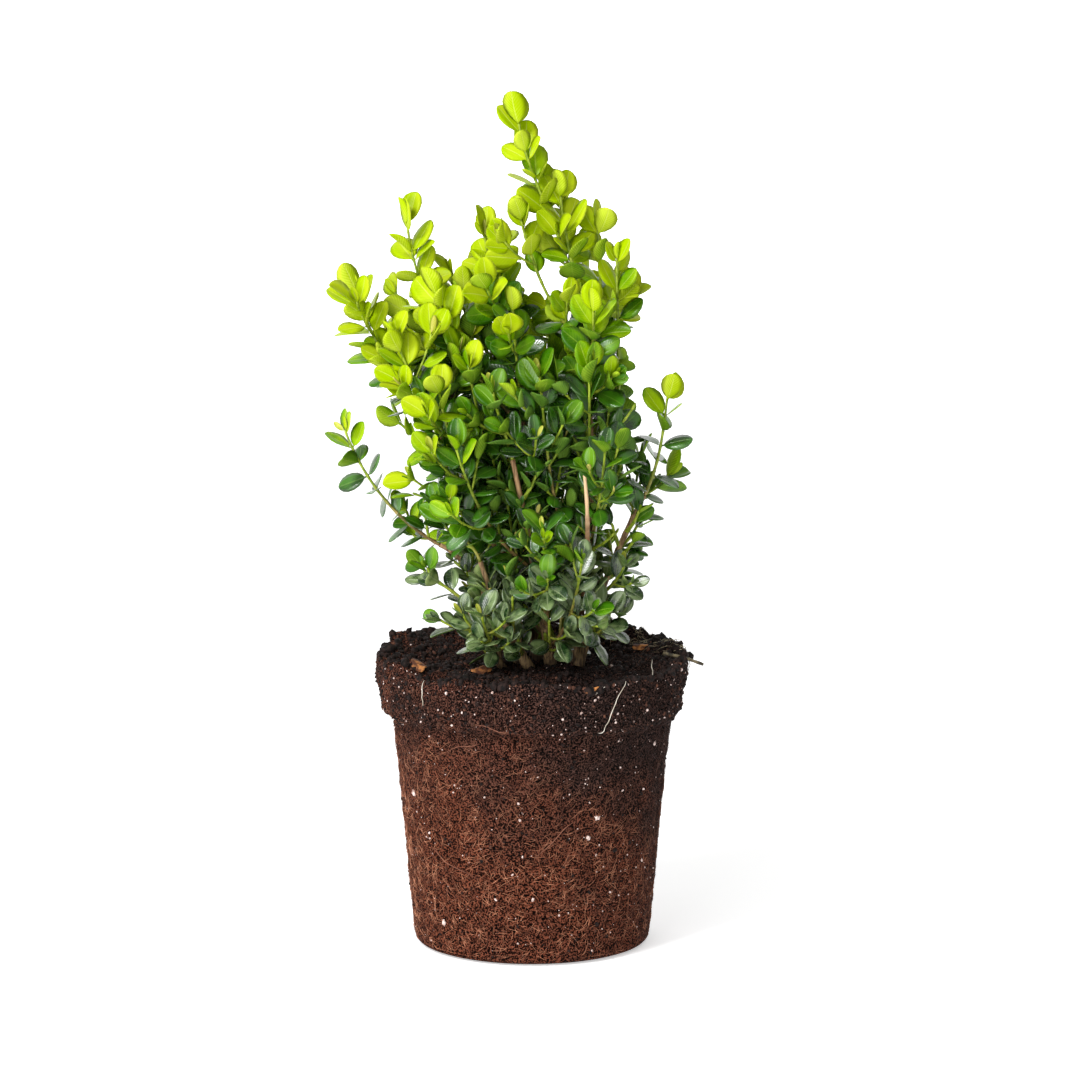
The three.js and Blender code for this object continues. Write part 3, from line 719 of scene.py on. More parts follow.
ROOT_FELTS = [
    ("root_felt_rust", paint(112, 60, 42), paint(212, 146, 112), paint(60, 38, 33), [
        (5200, WALL_FOOT, along_at(0.120), 0.0066, 0.00010, 0.0005, 31),
        (600, along_at(0.110), RIM_ALONG, 0.0052, 0.00010, 0.0004, 33),
    ]),
    ("root_felt_brown", paint(72, 38, 26), paint(118, 70, 50), paint(54, 34, 30), [
        (2500, WALL_FOOT, COLLAR_FOOT_ALONG, 0.0064, 0.00013, 0.0004, 41),
        (800, COLLAR_FOOT_ALONG, RIM_ALONG, 0.0052, 0.00013, 0.0003, 43),
        (200, RIM_ALONG, TOP_END, 0.0050, 0.00013, 0.0004, 45),
    ]),
]
for name, dark, light, shaded, zones in ROOT_FELTS:
    points, faces = joined([felt_of(*zone) for zone in zones])
    piece(name, points, faces, [felt_finish(name, dark, light, shaded)], "root_ball", [])

# %% [markdown]
# A few roots are longer and stand out: tan runners that cross the wall, and white feeding roots
# on the collar and the rim. Each has its own bearing, height and heading, because the eye finds
# a pale root at once, and chance would put it in the wrong place.

# %% Runners and pale roots
RUNNER_WAVER = 0.16
RUNNER_STEPS = 28
RUNNER_SIDES = 6


def runner(bearing_deg, along, heading_deg, length, curl, radius, lift, seed):
    """One long thread from a bearing, a distance along the profile and a heading."""
    one = [math.radians(bearing_deg), along, math.radians(heading_deg), length, curl]
    one = [np.array([value]) for value in one]
    paths, radii, out = threads(*one, RUNNER_WAVER, radius, lift, seed, RUNNER_STEPS)
    return tubes(paths, radii, RUNNER_SIDES, out)


def root_finish(name, dark, light):
    """Two tones of one colour in soft clouds, with the low gloss of a clean root."""
    finish = Finish(name, Specular_IOR_Level=0.2, Roughness=0.65)
    tone = finish.noise(140.0)
    finish.feed(Base_Color=finish.mix(dark, light, tone.ease(0.35, 0.65)))
    return finish


PALE_ROOTS = [
    (-53.0, along_at(0.1535), 240, 0.033, 0.1, 0.00021, 0.0011, 1),
    (-133.5, along_at(0.1515), 264, 0.0155, 0.2, 0.00021, 0.0012, 2),
    (-8.0, RIM_ALONG + 0.018, 198, 0.0360, 0.0, 0.00024, 0.0030, 6),
    (-62.0, along_at(0.1510), 215, 0.009, 0.2, 0.00022, 0.0008, 4),
    (150.0, along_at(0.1400), 280, 0.030, 0.6, 0.00026, 0.0010, 5),
    (60.0, along_at(0.1450), 265, 0.040, -0.5, 0.00026, 0.0010, 6),
    (15.0, along_at(0.1300), 300, 0.026, 0.4, 0.00026, 0.0010, 7),
]
RUNNERS = [
    (-112.0, along_at(0.130), -14, 0.026, -0.1, 0.00026, 0.0005, 11),
    (-128.0, along_at(0.112), 24, 0.020, -0.3, 0.00024, 0.0005, 13),
    (-70.0, along_at(0.078), 215, 0.030, 0.3, 0.00022, 0.0005, 15),
    (-140.0, along_at(0.060), -35, 0.034, 0.4, 0.00022, 0.0005, 16),
    (170.0, along_at(0.100), -30, 0.032, 0.3, 0.00026, 0.0005, 17),
    (100.0, along_at(0.080), 20, 0.040, -0.4, 0.00026, 0.0005, 18),
    (40.0, along_at(0.110), 160, 0.034, 0.3, 0.00026, 0.0005, 19),
    (-10.0, along_at(0.060), 30, 0.035, -0.5, 0.00026, 0.0005, 20),
]
LONG_ROOTS = [
    ("roots_white", PALE_ROOTS, "root_pale", paint(186, 174, 156), paint(240, 232, 218)),
    ("roots_tan", RUNNERS, "root_tan", paint(100, 60, 46), paint(140, 92, 72)),
]
for name, roots, finish_name, dark, light in LONG_ROOTS:
    points, faces = joined([runner(*root) for root in roots])
    piece(name, points, faces, [root_finish(finish_name, dark, light)], "root_ball", [])

# %% [markdown]
# At the right of the rim, towards the back, roots that came out over the earth have dried into
# a pale tangle. It is made of the same threads, strewn over a short stretch of the rim, with
# any heading and a strong curl, and each stands a little off the earth.

# %% The tangle on the rim
TANGLE_COUNT = 130
TANGLE_BEARING = math.radians(30)
TANGLE_SPREAD = 0.5
TANGLE_BAND = (-0.004, 0.012)
TANGLE_LENGTHS = (0.006, 0.014)
TANGLE_CURL = 2.2
TANGLE_WAVER, TANGLE_RADIUS, TANGLE_LIFT = 0.5, 0.00014, 0.0016
chance = np.random.default_rng(71)
turn = TANGLE_BEARING + TANGLE_SPREAD * chance.uniform(-1, 1, TANGLE_COUNT)
along = RIM_ALONG + chance.uniform(*TANGLE_BAND, TANGLE_COUNT)
heading = chance.uniform(0, 2 * np.pi, TANGLE_COUNT)
length = chance.uniform(*TANGLE_LENGTHS, TANGLE_COUNT)
curl = chance.normal(0, TANGLE_CURL, TANGLE_COUNT)
paths, radii, out = threads(
    turn, along, heading, length, curl, TANGLE_WAVER, TANGLE_RADIUS, TANGLE_LIFT, 72)
tangle = root_finish("root_tangle", paint(112, 98, 76), paint(190, 176, 146))
points, faces = tubes(paths, radii, FELT_SIDES, out)
piece("roots_tangle", points, faces, [tangle], "root_ball", [])

# %% [markdown]
# Scraps of orange bark lie on the earth. A scrap is a curled plate: a grid whose edge radius
# wavers, bent over one axis, with a second layer under it so that it has a thickness. Each
# leans a little towards the viewer, so that its face shows.

# %% Scraps of bark
SCRAP_LEAN = np.array([0.0, -0.45, 0.0])
SCRAP_LIFT = 0.0030
SCRAP_THICKNESS = 0.0003
SCRAP_SPOKES, SCRAP_RINGS = 22, 5
SCRAP_GRAIN_DEPTH, SCRAP_GRAIN = 0.0002, 0.002


def scrap(bearing_deg, along, size, bend, seed):
    """A curled plate of rings and spokes. Its edge is a circle with two slow waves and five
    quick ones, its height falls with the square of the distance from its axis, and its
    underside is lower by its thickness."""
    chance = np.random.default_rng(seed)
    spokes, rings = SCRAP_SPOKES, SCRAP_RINGS
    angle = 2 * np.pi * np.arange(spokes) / spokes
    edge = 1 + 0.16 * np.sin(2 * angle + chance.uniform(0, 6)) + 0.1 * np.sin(5 * angle + seed)
    share = np.linspace(0.08, 1, rings)[:, None]
    x = size[0] * share * edge * np.cos(angle)
    y = size[1] * share * edge * np.sin(angle)
    grain = SCRAP_GRAIN_DEPTH * grains(np.stack([x, y, x], -1), SCRAP_GRAIN, seed)
    top = np.stack([x, y, -bend * (y / size[1]) ** 2 * size[1] + grain], -1)
    turn = np.array(math.radians(bearing_deg))
    out = unit(on_ball(turn, np.array(along), ball_out) + SCRAP_LEAN)
    spin = unit(np.cross(out, (chance.uniform(-1, 1), 0.3, 1.0)))
    frame_of = np.stack([spin, np.cross(out, spin), out])
    lifted = on_ball(turn, np.array(along), ball) + out * (SCRAP_LIFT + bend * size[1] * 0.5)
    upper = top @ frame_of + lifted
    lower = upper - out * SCRAP_THICKNESS
    corner = np.arange(spokes * rings).reshape(rings, spokes)
    turned = np.roll(corner, -1, axis=1)
    sheet = np.stack([corner[:-1], corner[1:], turned[1:], turned[:-1]], -1).reshape(-1, 4)
    below = sheet[:, ::-1] + spokes * rings
    rim = np.stack([corner[-1], corner[-1] + spokes * rings,
                    turned[-1] + spokes * rings, turned[-1]], -1)
    centre = [corner[0].tolist(), (corner[0, ::-1] + spokes * rings).tolist()]
    points = np.concatenate([upper.reshape(-1, 3), lower.reshape(-1, 3)])
    return points, np.concatenate([sheet, below, rim]).tolist() + centre


SCRAPS = [
    (216.0, RIM_ALONG + 0.0095, (0.0058, 0.0036), 0.5, 1),
    (228.6, RIM_ALONG + 0.0425, (0.0052, 0.0040), 0.6, 2),
    (-68.0, RIM_ALONG + 0.0010, (0.0036, 0.0010), 0.3, 3),
    (20.0, RIM_ALONG + 0.0200, (0.0044, 0.0026), 0.5, 4),
    (110.0, RIM_ALONG + 0.0180, (0.0040, 0.0030), 0.4, 5),
]
bark_scrap = Finish("bark_scrap", Specular_IOR_Level=0.3, Roughness=0.7)
streak = bark_scrap.noise(260.0)
orange = bark_scrap.mix(paint(70, 36, 18), paint(184, 120, 64), streak.ease(0.4, 0.65))
bark_scrap.feed(Base_Color=orange)
bark_scrap.relief(streak, 0.0006)
points, faces = joined([scrap(*one) for one in SCRAPS])
piece("bark_scraps", points, faces, [bark_scrap], "root_ball", [])

# %% [markdown]
# One dry stick pokes out of the rim on the right. It is a single tube with a slight bow, and
# its radius goes up and down a little on the way, like the buds and scars of a dead twig.

# %% The dry stick
STICK_ROOT = np.array([0.070, -0.006, 0.1555])
STICK_TIP = np.array([0.0912, -0.012, 0.1505])
STICK_STEPS, STICK_SIDES = 14, 9
STICK_THICK, STICK_THIN = 0.0010, 0.0008
STICK_BOW = 0.0008
share = np.linspace(0, 1, STICK_STEPS)
stick_path = STICK_ROOT + (STICK_TIP - STICK_ROOT) * share[:, None]
stick_path[:, 2] += STICK_BOW * np.sin(3 * share)
stick_radii = between(STICK_THICK, STICK_THIN, share) * (1 + 0.12 * np.sin(23 * share))
stick = Finish("dry_stick", Specular_IOR_Level=0.3, Roughness=0.7)
weather = stick.noise(420.0)
stick.feed(Base_Color=stick.mix(paint(52, 46, 34), paint(112, 100, 74), weather.ease(0.35, 0.65)))
stick.relief(weather, 0.0004)
points, faces = tubes(stick_path[None], stick_radii[None], STICK_SIDES)
piece("dry_stick", points, faces, [stick], "root_ball", [])

# %% [markdown]
# ## Stems and twigs
#
# A shrub's shape comes from its limbs. Each stem is a curve from a foot on the ground to a tip,
# and bows to one side between them. The table is the solid's, in metres, so the finished stems
# run where its stems do. A stem is named by where it stands or leans, and its two radii are
# those of its foot and its tip.

# %% Table of stems
Stem = namedtuple("Stem", "foot tip bow radius")
STEMS = {name + "_stem": Stem(*row) for name, *row in [
    ("main", (.01, .002), (-.01, -.024, .261), (.002, -.014, 0), (.0026, .0012)),
    ("tall", (.021, .012), (.022, .008, .35), (.02, -.008, 0), (.0026, .0011)),
    ("right", (.025, -.001), (.06, .008, .239), (-.006, .002, 0), (.0022, .0012)),
    ("right_back", (.013, .023), (.044, .016, .285), (.006, .006, 0), (.0022, .0011)),
    ("left_crown", (-.007, .005), (-.05, -.004, .274), (.024, .002, 0), (.0024, .0011)),
    ("left_front", (-.001, -.011), (-.027, -.03, .208), (-.004, -.004, 0), (.0022, .0012)),
    ("low_left", (-.018, .004), (-.049, -.005, .214), (.01, 0, .02), (.002, .0011)),
    ("low_front", (-.015, -.012), (-.033, -.025, .182), (-.004, -.004, .004), (.0018, .0011)),
    ("centre", (.003, .016), (-.009, .009, .317), (.004, .004, 0), (.0024, .0011)),
    ("back_left", (-.01, .02), (-.04, .042, .27), (.006, -.004, 0), (.0025, .0012)),
    ("back_right", (.02, .03), (.038, .048, .265), (-.004, -.004, 0), (.0024, .0012)),
    ("back", (.002, .032), (0, .06, .262), (0, -.01, 0), (.0025, .0012)),
]}
print(len(STEMS), "stems")

# %% [markdown]
# Each spray is one long twig that leaves a stem part of the way up and ends at a tip of its own.
# Its row says which stem, at what share of the stem's length, where the tip is, and how far its
# leaf pairs are turned, in degrees. Then it may say how many pairs below the tip stay without a
# side twig, and how much further the twig goes than the solid's. Thirteen do, by 1 to 20 mm up
# or to one side, where the solid has the coarse leaves of their tips.

# %% Table of sprays
Spray = namedtuple("Spray", "stem at tip turn clear further", defaults=(2, (0, 0, 0)))
SPRAYS = {"leaves_" + name: Spray(stem + "_stem", *row) for name, stem, *row in [
    ("top", "tall", 1, (-.008, 0, .435), 80, 6, (.001, 0, .002)),
    ("top_right", "tall", 0.93, (.015, .006, .399), 60),
    ("right_peak", "tall", 0.82, (.031, .012, .386), 20, 2, (.004, 0, -.002)),
    ("under_top", "tall", 0.86, (0, -.006, .368), 45, 2, (-.006, 0, .019)),
    ("right_high_front", "tall", 0.66, (.032, -.03, .34), 70),
    ("right_front", "tall", 0.47, (.03, -.026, .31), 10),
    ("centre_front", "tall", 0.24, (.004, -.03, .306), 35),
    ("right_low_front", "tall", 0.26, (.038, -.042, .268), 65),
    ("front", "main", 1, (-.02, -.037, .298), 20),
    ("front_left", "main", 0.5, (-.039, -.052, .27), 50),
    ("low_front", "main", 0.22, (.006, -.054, .228), 0, 1),
    ("low_front_right", "main", 0.1, (.026, -.056, .212), 30, 1),
    ("right", "right", 1, (.071, .004, .284), 75, 9, (.001, 0, .008)),
    ("right_back", "right", 0.86, (.058, .03, .258), 15),
    ("low_right", "right", 0.4, (.049, -.012, .204), 40, 1),
    ("lowest_right", "right", 0.14, (.043, -.014, .174), 55, 1, (.004, 0, .004)),
    ("right_side", "right_back", 1, (.041, .006, .361), 5, 9, (.004, 0, .004)),
    ("right_shoulder", "right_back", 0.85, (.03, .032, .316), 25),
    ("left_shoulder", "left_crown", 1, (-.095, .004, .345), 85, 2, (.002, 0, .003)),
    ("left_peak", "left_crown", 0.9, (-.064, .002, .384), 45, 5, (-.002, 0, .001)),
    ("left_high_front", "left_crown", 0.8, (-.071, -.024, .326), 10),
    ("left", "left_crown", 0.6, (-.054, -.014, .286), 30, 4),
    ("left_front", "left_crown", 0.4, (-.048, -.038, .298), 60),
    ("centre_top", "centre", 1, (-.024, -.004, .375), 70, 2, (-.001, 0, .003)),
    ("left_top", "centre", 0.88, (-.043, .012, .358), 15),
    ("left_centre", "centre", 0.76, (-.05, -.016, .334), 40, 2, (0, 0, .014)),
    ("centre", "centre", 0.8, (-.01, -.018, .34), 80),
    ("inner", "centre", 0.4, (-.033, -.027, .31), 5),
    ("left_bright", "left_front", 1, (-.048, -.041, .239), 35),
    ("far_left", "low_left", 1, (-.097, -.005, .272), 75, 9, (-.002, 0, .003)),
    ("low_left", "low_front", 1, (-.055, -.03, .205), 20, 1),
    ("lowest_left", "low_front", 0.3, (-.026, -.044, .182), 45, 1),
    ("back_left", "back_left", 1, (-.058, .044, .328), 65),
    ("back_left_top", "back_left", 0.9, (-.022, .036, .356), 30),
    ("back_left_side", "back_left", 0.7, (-.054, .036, .306), 0),
    ("back_left_low", "back_left", 0.2, (-.034, .054, .214), 50, 1),
    ("back_right", "back_right", 1, (.028, .046, .35), 20),
    ("back_right_side", "back_right", 0.75, (.042, .054, .286), 70),
    ("back_right_low", "back_right", 0.2, (.038, .058, .214), 40, 1),
    ("back", "back", 1, (.006, .066, .332), 10),
    ("back_inner_left", "back", 0.5, (-.024, .072, .29), 60),
    ("back_inner_right", "back", 0.4, (.022, .078, .272), 80),
    ("back_low", "back", 0.15, (-.002, .076, .216), 25, 1),
    ("base_left", "low_front", 0.66, (-.042, -.034, .176), 60, 1, (.006, 0, .005)),
    ("base_front", "left_front", 0.34, (-.01, -.046, .192), 10, 1),
    ("base_centre", "main", 0.08, (.009, -.034, .178), 35, 1),
    ("base_right", "right", 0.1, (.032, -.03, .176), 70, 1, (.009, 0, .005)),
]}
print(len(SPRAYS), "sprays")

# %% [markdown]
# A limb follows a Bezier curve. Its places are counted by share of its length, so the curve is
# first drawn finely and then cut into steps of one length. Each limb also knows its kind, its
# own seed and how far its leaf pairs are turned.

# %% Limbs
STEP = 0.0015
FEWEST_STEPS = 5
CURVE_PLACES = 161
FLARE_LENGTH = 0.009


class Limb:
    """A stem or twig: a path of even steps along a Bezier curve, and how thick it is. The curve
    is found by mixing neighbouring corners by the share until one row of places is left."""

    def __init__(self, corners, thick, thin, flare=0.0):
        share = np.linspace(0, 1, CURVE_PLACES)[:, None]
        rows = [np.asarray(corner, float) * np.ones_like(share) for corner in corners]
        while len(rows) > 1:
            rows = [between(low, high, share) for low, high in zip(rows, rows[1:])]
        walked = np.r_[0, np.cumsum(np.linalg.norm(np.diff(rows[0], axis=0), axis=1))]
        self.length = walked[-1]
        even = np.linspace(0, self.length, max(round(self.length / STEP), FEWEST_STEPS) + 1)
        self.points = np.stack([np.interp(even, walked, side) for side in rows[0].T], 1)
        self.headings = unit(np.gradient(self.points, axis=0))
        self.shares = even / self.length
        self.thick, self.thin, self.flare = thick, thin, flare

    def at(self, share):
        return np.array([np.interp(share, self.shares, side) for side in self.points.T])

    def ahead(self, share):
        return unit(np.array([np.interp(share, self.shares, side) for side in self.headings.T]))

    def radius(self, share):
        """An even taper, and a flare that fades out over its length from the foot."""
        flare = self.flare * np.exp(-share * self.length / FLARE_LENGTH)
        return between(self.thick, self.thin, share) * (1 + flare)


# %% [markdown]
# The stems stand on the ground and flare at the foot, as wood does where it meets its roots.
# Each is a curve of three corners: the foot, the middle pushed aside by the bow, and the tip.

# %% Stems as limbs
FLARE = 0.45
stems = {}
for row, (name, (foot, tip, bow, (thick, thin))) in enumerate(STEMS.items()):
    start, end = np.array([*foot, GROUND_HEIGHT]), np.array(tip)
    stem = Limb([start, (start + end) / 2 + bow, end], thick, thin, FLARE)
    stem.kind, stem.turn, stem.seed, stem.clear = "stem", row, 500 + row, 0
    stems[name] = stem
print("stems of", round(sum(stem.length for stem in stems.values()), 2), "m in all")

# %% [markdown]
# A spray's main twig leaves its stem at half a right angle and turns up before its tip. A curve
# of four corners does that, because its two inner ones are handles: the twig sets off towards
# the first and arrives from the second.

# %% Main twigs
UP = np.array([0.0, 0.0, 1.0])
TWIG_RADIUS = 0.00100
TWIG_TIP_RADIUS = 0.00062
PAIR_SPACING = 0.012
CLEAR_OF_SHOOTS = 0.6
FIRST_SEED = 36


def main_twig(spray, seed):
    """A cubic curve whose first handle is between the stem's way and straight outwards, and
    whose last one is between the straight way to the tip and upwards."""
    stem = stems[spray.stem]
    axis, on_stem = stem.ahead(spray.at), stem.at(spray.at)
    tip = np.array(spray.tip) + spray.further
    away = tip - on_stem
    outward = unit(away - axis * (away @ axis))
    leaving = axis if spray.at == 1 else unit(axis + outward)
    start = on_stem if spray.at == 1 else on_stem + outward * stem.radius(spray.at) / 2
    third = np.linalg.norm(tip - start) / 3
    arriving = unit(unit(tip - start) + UP)
    corners = [start, start + leaving * third, tip - arriving * third, tip]
    twig = Limb(corners, TWIG_RADIUS, TWIG_TIP_RADIUS)
    twig.kind, twig.turn, twig.seed = "twig", math.radians(spray.turn), seed
    twig.clear = spray.clear * PAIR_SPACING * CLEAR_OF_SHOOTS
    return twig


grown = {}
for row, (name, spray) in enumerate(SPRAYS.items()):
    grown[name] = [main_twig(spray, FIRST_SEED + row)]
print(len(grown), "main twigs")

# %% [markdown]
# Side twigs stand at every second leaf pair of a main twig, where they take the place of a leaf.
# They get longer away from the tip and bend upwards half-way. Which side comes first is drawn by
# a rule that the solid's own script can follow too, so both grow their side twigs alike.

# %% Side twigs
TIP_PAIR_DEPTH = 0.002
BARE_LENGTH = 0.007
SIDE_TWIG_ANGLE = math.radians(55)
SIDE_TWIG_LEAST = 0.015
SIDE_TWIG_MOST = 0.038
SIDE_TWIG_SHARE = 0.45
SIDE_TWIG_THINNER = 0.85
SIDE_TWIG_RISE = 0.8


def drawn(seed, counter):
    """A number from 0 to 1 that looks random: the fraction of a large multiple of a sine."""
    wave = math.sin(seed * 12.9898 + counter * 78.233) * 43758.5453
    return wave - math.floor(wave)


def branching(axis, angle, turn):
    """A direction at an angle to an axis: cos angle along it and sin angle square to it, where
    the square part is turned from the side towards the back."""
    side = unit(np.cross((0, 1, 0), axis))
    square = math.cos(turn) * side + math.sin(turn) * np.cross(axis, side)
    return math.cos(angle) * axis + math.sin(angle) * square


def shoot_from(twig, share, angle, bearing, length):
    """A twig that leaves another at an angle, goes half its length straight and then rises."""
    root = twig.at(share)
    leaving = branching(twig.ahead(share), angle, bearing)
    bend = root + leaving * length / 2
    tip = bend + unit(leaving + SIDE_TWIG_RISE * UP) * length / 2
    return Limb([root, bend, tip], twig.radius(share) * SIDE_TWIG_THINNER, TWIG_TIP_RADIUS)


def side_twigs(main, clear):
    """A side twig at every second leaf pair of a main twig, below the pairs near its tip."""
    pairs = math.floor((main.length - BARE_LENGTH) / PAIR_SPACING) + 1
    for pair in range(clear, pairs, 2):
        from_tip = TIP_PAIR_DEPTH + pair * PAIR_SPACING
        side = (pair + 2 * round(drawn(main.seed, pair))) % 4
        length = min(SIDE_TWIG_LEAST + SIDE_TWIG_SHARE * from_tip, SIDE_TWIG_MOST)
        bearing = main.turn + side * math.pi / 2
        twig = shoot_from(main, 1 - from_tip / main.length, SIDE_TWIG_ANGLE, bearing, length)
        twig.kind, twig.turn = "twig", 2 * math.pi * drawn(main.seed, -pair)
        twig.seed, twig.clear = main.seed + 1000 * (pair + 1), 0
        yield twig


print("the first draw is", round(drawn(FIRST_SEED, 0), 3))

# %% [markdown]
# Twigs of a real shrub grow where there is light and air. So a side twig that would come too
# near to another spray's twigs, a stem or the ground isn't grown. Its first steps aren't looked
# at, because it has to touch the wood that it starts from.

# %% Grow the side twigs
SIDE_TWIG_ROOM = 0.007
JOINT_STEPS = 3


def gap(points, others):
    """The least distance between two sets of points."""
    return np.linalg.norm(points[:, None] - others[None], axis=-1).min()


def has_room(twig, others, room):
    """Whether a twig, beyond its root, is far enough from other twigs, stems and the ground."""
    own = twig.points[JOINT_STEPS:]
    near_twig = any(gap(own, other.points) < room for other in others)
    near_stem = any(gap(own, stem.points) < room / 2 for stem in stems.values())
    low = (own[:, 2] < earth_height(own[:, 0], own[:, 1]) + room / 2).any()
    return not (near_twig or near_stem or low)


for name, own_twigs in grown.items():
    for twig in side_twigs(own_twigs[0], SPRAYS[name].clear):
        others = [one for other, theirs in grown.items() if other != name for one in theirs]
        if has_room(twig, others, SIDE_TWIG_ROOM):
            own_twigs.append(twig)
twigs = [twig for theirs in grown.values() for twig in theirs]
print(len(twigs), "main and side twigs")

# %% [markdown]
# The same rule once more gives the finest shoots: short ones in the axils of older leaves, on
# twigs and stems alike, wherever there is room. They fill the crown between the side twigs, and
# none ends higher than the limb that it grows on.

# %% Axillary shoots
SHOOT_CHANCE = {"twig": 0.5, "stem": 0.9}
SHOOT_TURN_VARIES = 0.3
SHOOT_ANGLE = math.radians(48)
SHOOT_LENGTH = (0.008, 0.022)
SHOOT_ROOM = 0.0036
SHOOT_APART = 0.009
SHOOT_FROM_TIP = (0.022, 0.054)
SHOOT_FROM_TIP_HEIGHTS = (0.25, 0.40)
SHOOT_FROM_ROOT = 0.005

for parent in [*twigs, *stems.values()]:
    chance = np.random.default_rng(parent.seed)
    first = between(*SHOOT_FROM_TIP, ease(parent.points[-1, 2], *SHOOT_FROM_TIP_HEIGHTS))
    first = max(first, parent.clear)
    for k, from_tip in enumerate(np.arange(first, parent.length - SHOOT_FROM_ROOT, SHOOT_APART)):
        for half in (0, math.pi):
            if chance.random() > SHOOT_CHANCE[parent.kind]:
                continue
            bearing = parent.turn + k * math.pi / 2 + half + SHOOT_TURN_VARIES * chance.normal()
            length = chance.uniform(*SHOOT_LENGTH)
            share = 1 - from_tip / parent.length
            shoot = shoot_from(parent, share, SHOOT_ANGLE, bearing, length)
            if shoot.points[-1, 2] > parent.points[-1, 2] or not has_room(
                    shoot, [one for one in twigs if one is not parent], SHOOT_ROOM):
                continue
            shoot.kind, shoot.turn = "shoot", chance.uniform(0, 2 * math.pi)
            shoot.seed = chance.integers(1 << 30)
            twigs.append(shoot)
print(len(twigs), "twigs with the axillary shoots")

# %% [markdown]
# One shoot in the front died back long ago. It stands among the leaves as a bare, tan stub that
# comes off the tallest stem. It is a limb too, so that the leaves can keep clear of it.

# %% The bare stub
STUB_AT = 0.12
STUB_BEND = (0.032, -0.032, 0.214)
STUB_TIP = (0.0273, -0.036, 0.256)
STUB_THICK, STUB_THIN = 0.0013, 0.0009
stub = Limb([stems["tall_stem"].at(STUB_AT), STUB_BEND, STUB_TIP], STUB_THICK, STUB_THIN)
print("a stub of", stub.length.round(3), "m")

# %% [markdown]
# ## Leaves
#
# Boxwood leaves stand in pairs, and each pair is turned a quarter turn from the last. Young
# ones near a tip are folded up along the twig, and older ones spread. The new growth at the
# top of this shrub has large leaves that stand up, with every second pair so near to the one
# above it that four leaves make a whorl. The old growth below has smaller leaves that spread
# more and stand evenly, a little further apart.
#
# The outline of a leaf is a width at each of nine stations along it: a short stalk, an oval
# blade and a round tip. The half width of an ellipse is one minus a square, to the power of a
# half. With both powers a little larger the blade keeps its broad middle and tapers a little
# more towards its ends, and near the stalk it is narrower than near the tip.

# %% How leaves stand
LEAF_LONG = (0.0142, 0.0192)
LEAF_WIDE = (0.67, 0.72)
PAIRS_APART = (0.0090, 0.0074)
PAIRS_JOIN = 0.45
STEM_PAIRS = (0.012, 0.62)
STEM_PAIRS_APART = 0.009
SIZE_VARIES = 0.11
TURN_VARIES = 0.3
SPREAD_VARIES = 0.16
FIRST_SPREADS = np.radians([12, 28, 37, 46, 56, 63])
FIRST_SIZES = (0.5, 0.92)
SHOOT_LEAF_SMALLER = 0.88
SHOOT_PAIRS_CLOSER = 0.8
BUD_NARROWER = 0.62
OLD_SPREAD = math.radians(13)
HIGH_SPREAD_LESS = 0.22
ROLL_VARIES = 0.3
ROLL_MOST = 0.45
STATIONS = np.array([0, 0.08, 0.15, 0.28, 0.46, 0.66, 0.84, 0.955, 1])
STALK = 0.08
STALK_WIDTH = 0.1
BLUNT, FULL = 2.1, 0.57
FOOT_NARROWER = 0.14
blade_share = np.clip((STATIONS - STALK) / (1 - STALK), 0, 1)
HALF_WIDTHS = (1 - abs(2 * blade_share - 1) ** BLUNT) ** FULL
HALF_WIDTHS *= 1 - FOOT_NARROWER * (1 - blade_share) ** 3
HALF_WIDTHS = np.maximum(HALF_WIDTHS, STALK_WIDTH)
print("a leaf is widest at", STATIONS[HALF_WIDTHS.argmax()], "of its length")

# %% [markdown]
# Before a leaf is made its place is tested, and for that it is a flat blade with three
# directions: along it, across it and above it. Every leaf turns its upper face a little up and
# away from the middle of the crown, towards the light, more outwards where it stands on the
# outside or high up.

# %% One leaf's place
MIDDLE = np.array([0.005, 0.03, 0.0])
OUTWARD = np.array([0.4, 1.0, 0.0])
FACE_UP = (1.2, 0.4)
FACE_OUT = (0.5, 1.2)
FACE_HEIGHTS = (0.2, 0.33)
FACE_RADII = (0.04, 0.07)
ON_BARK = 0.7


class Leaf:
    """A leaf's root, its three directions (along, across, above), its length and width."""

    def __init__(self, twig, from_tip, spread, turn, long, wide, roll):
        share = 1 - from_tip / twig.length
        axis = twig.ahead(share)
        self.along = branching(axis, spread, turn)
        square = unit(self.along - axis * (self.along @ axis))
        self.root = twig.at(share) + square * twig.radius(share) * ON_BARK
        outward = unit((self.root - MIDDLE) * OUTWARD)
        aside = outward - square * (outward @ square)
        outside = max(
            ease(self.root[2], *FACE_HEIGHTS), ease(np.hypot(*self.root[:2]), *FACE_RADII))
        above = axis + between(*FACE_UP, outside) * UP + between(*FACE_OUT, outside) * aside
        above = unit(above - self.along * (above @ self.along))
        self.above = math.cos(roll) * above + math.sin(roll) * np.cross(self.along, above)
        self.across = np.cross(self.along, self.above)
        self.long, self.wide, self.from_tip = long, wide, from_tip

    def frame(self):
        return np.stack([self.across, self.along, self.above])

    def edge(self):
        """The outline: up one side of the blade and down the other."""
        sides = np.concatenate([HALF_WIDTHS[1:], -HALF_WIDTHS[:0:-1]]) * self.wide / 2
        lengths = np.concatenate([STATIONS[1:], STATIONS[:0:-1]]) * self.long
        return self.root + sides[:, None] * self.across + lengths[:, None] * self.along


print("leaves face away from", MIDDLE)

# %% [markdown]
# Two flat blades pass through each other where an edge of one goes from below to above the
# other, inside its outline. So each edge is seen in the other leaf's own directions, where
# below and above are only a sign. The leaves grown so far are kept as arrays, because a new one
# has to be tested against all of them at once.

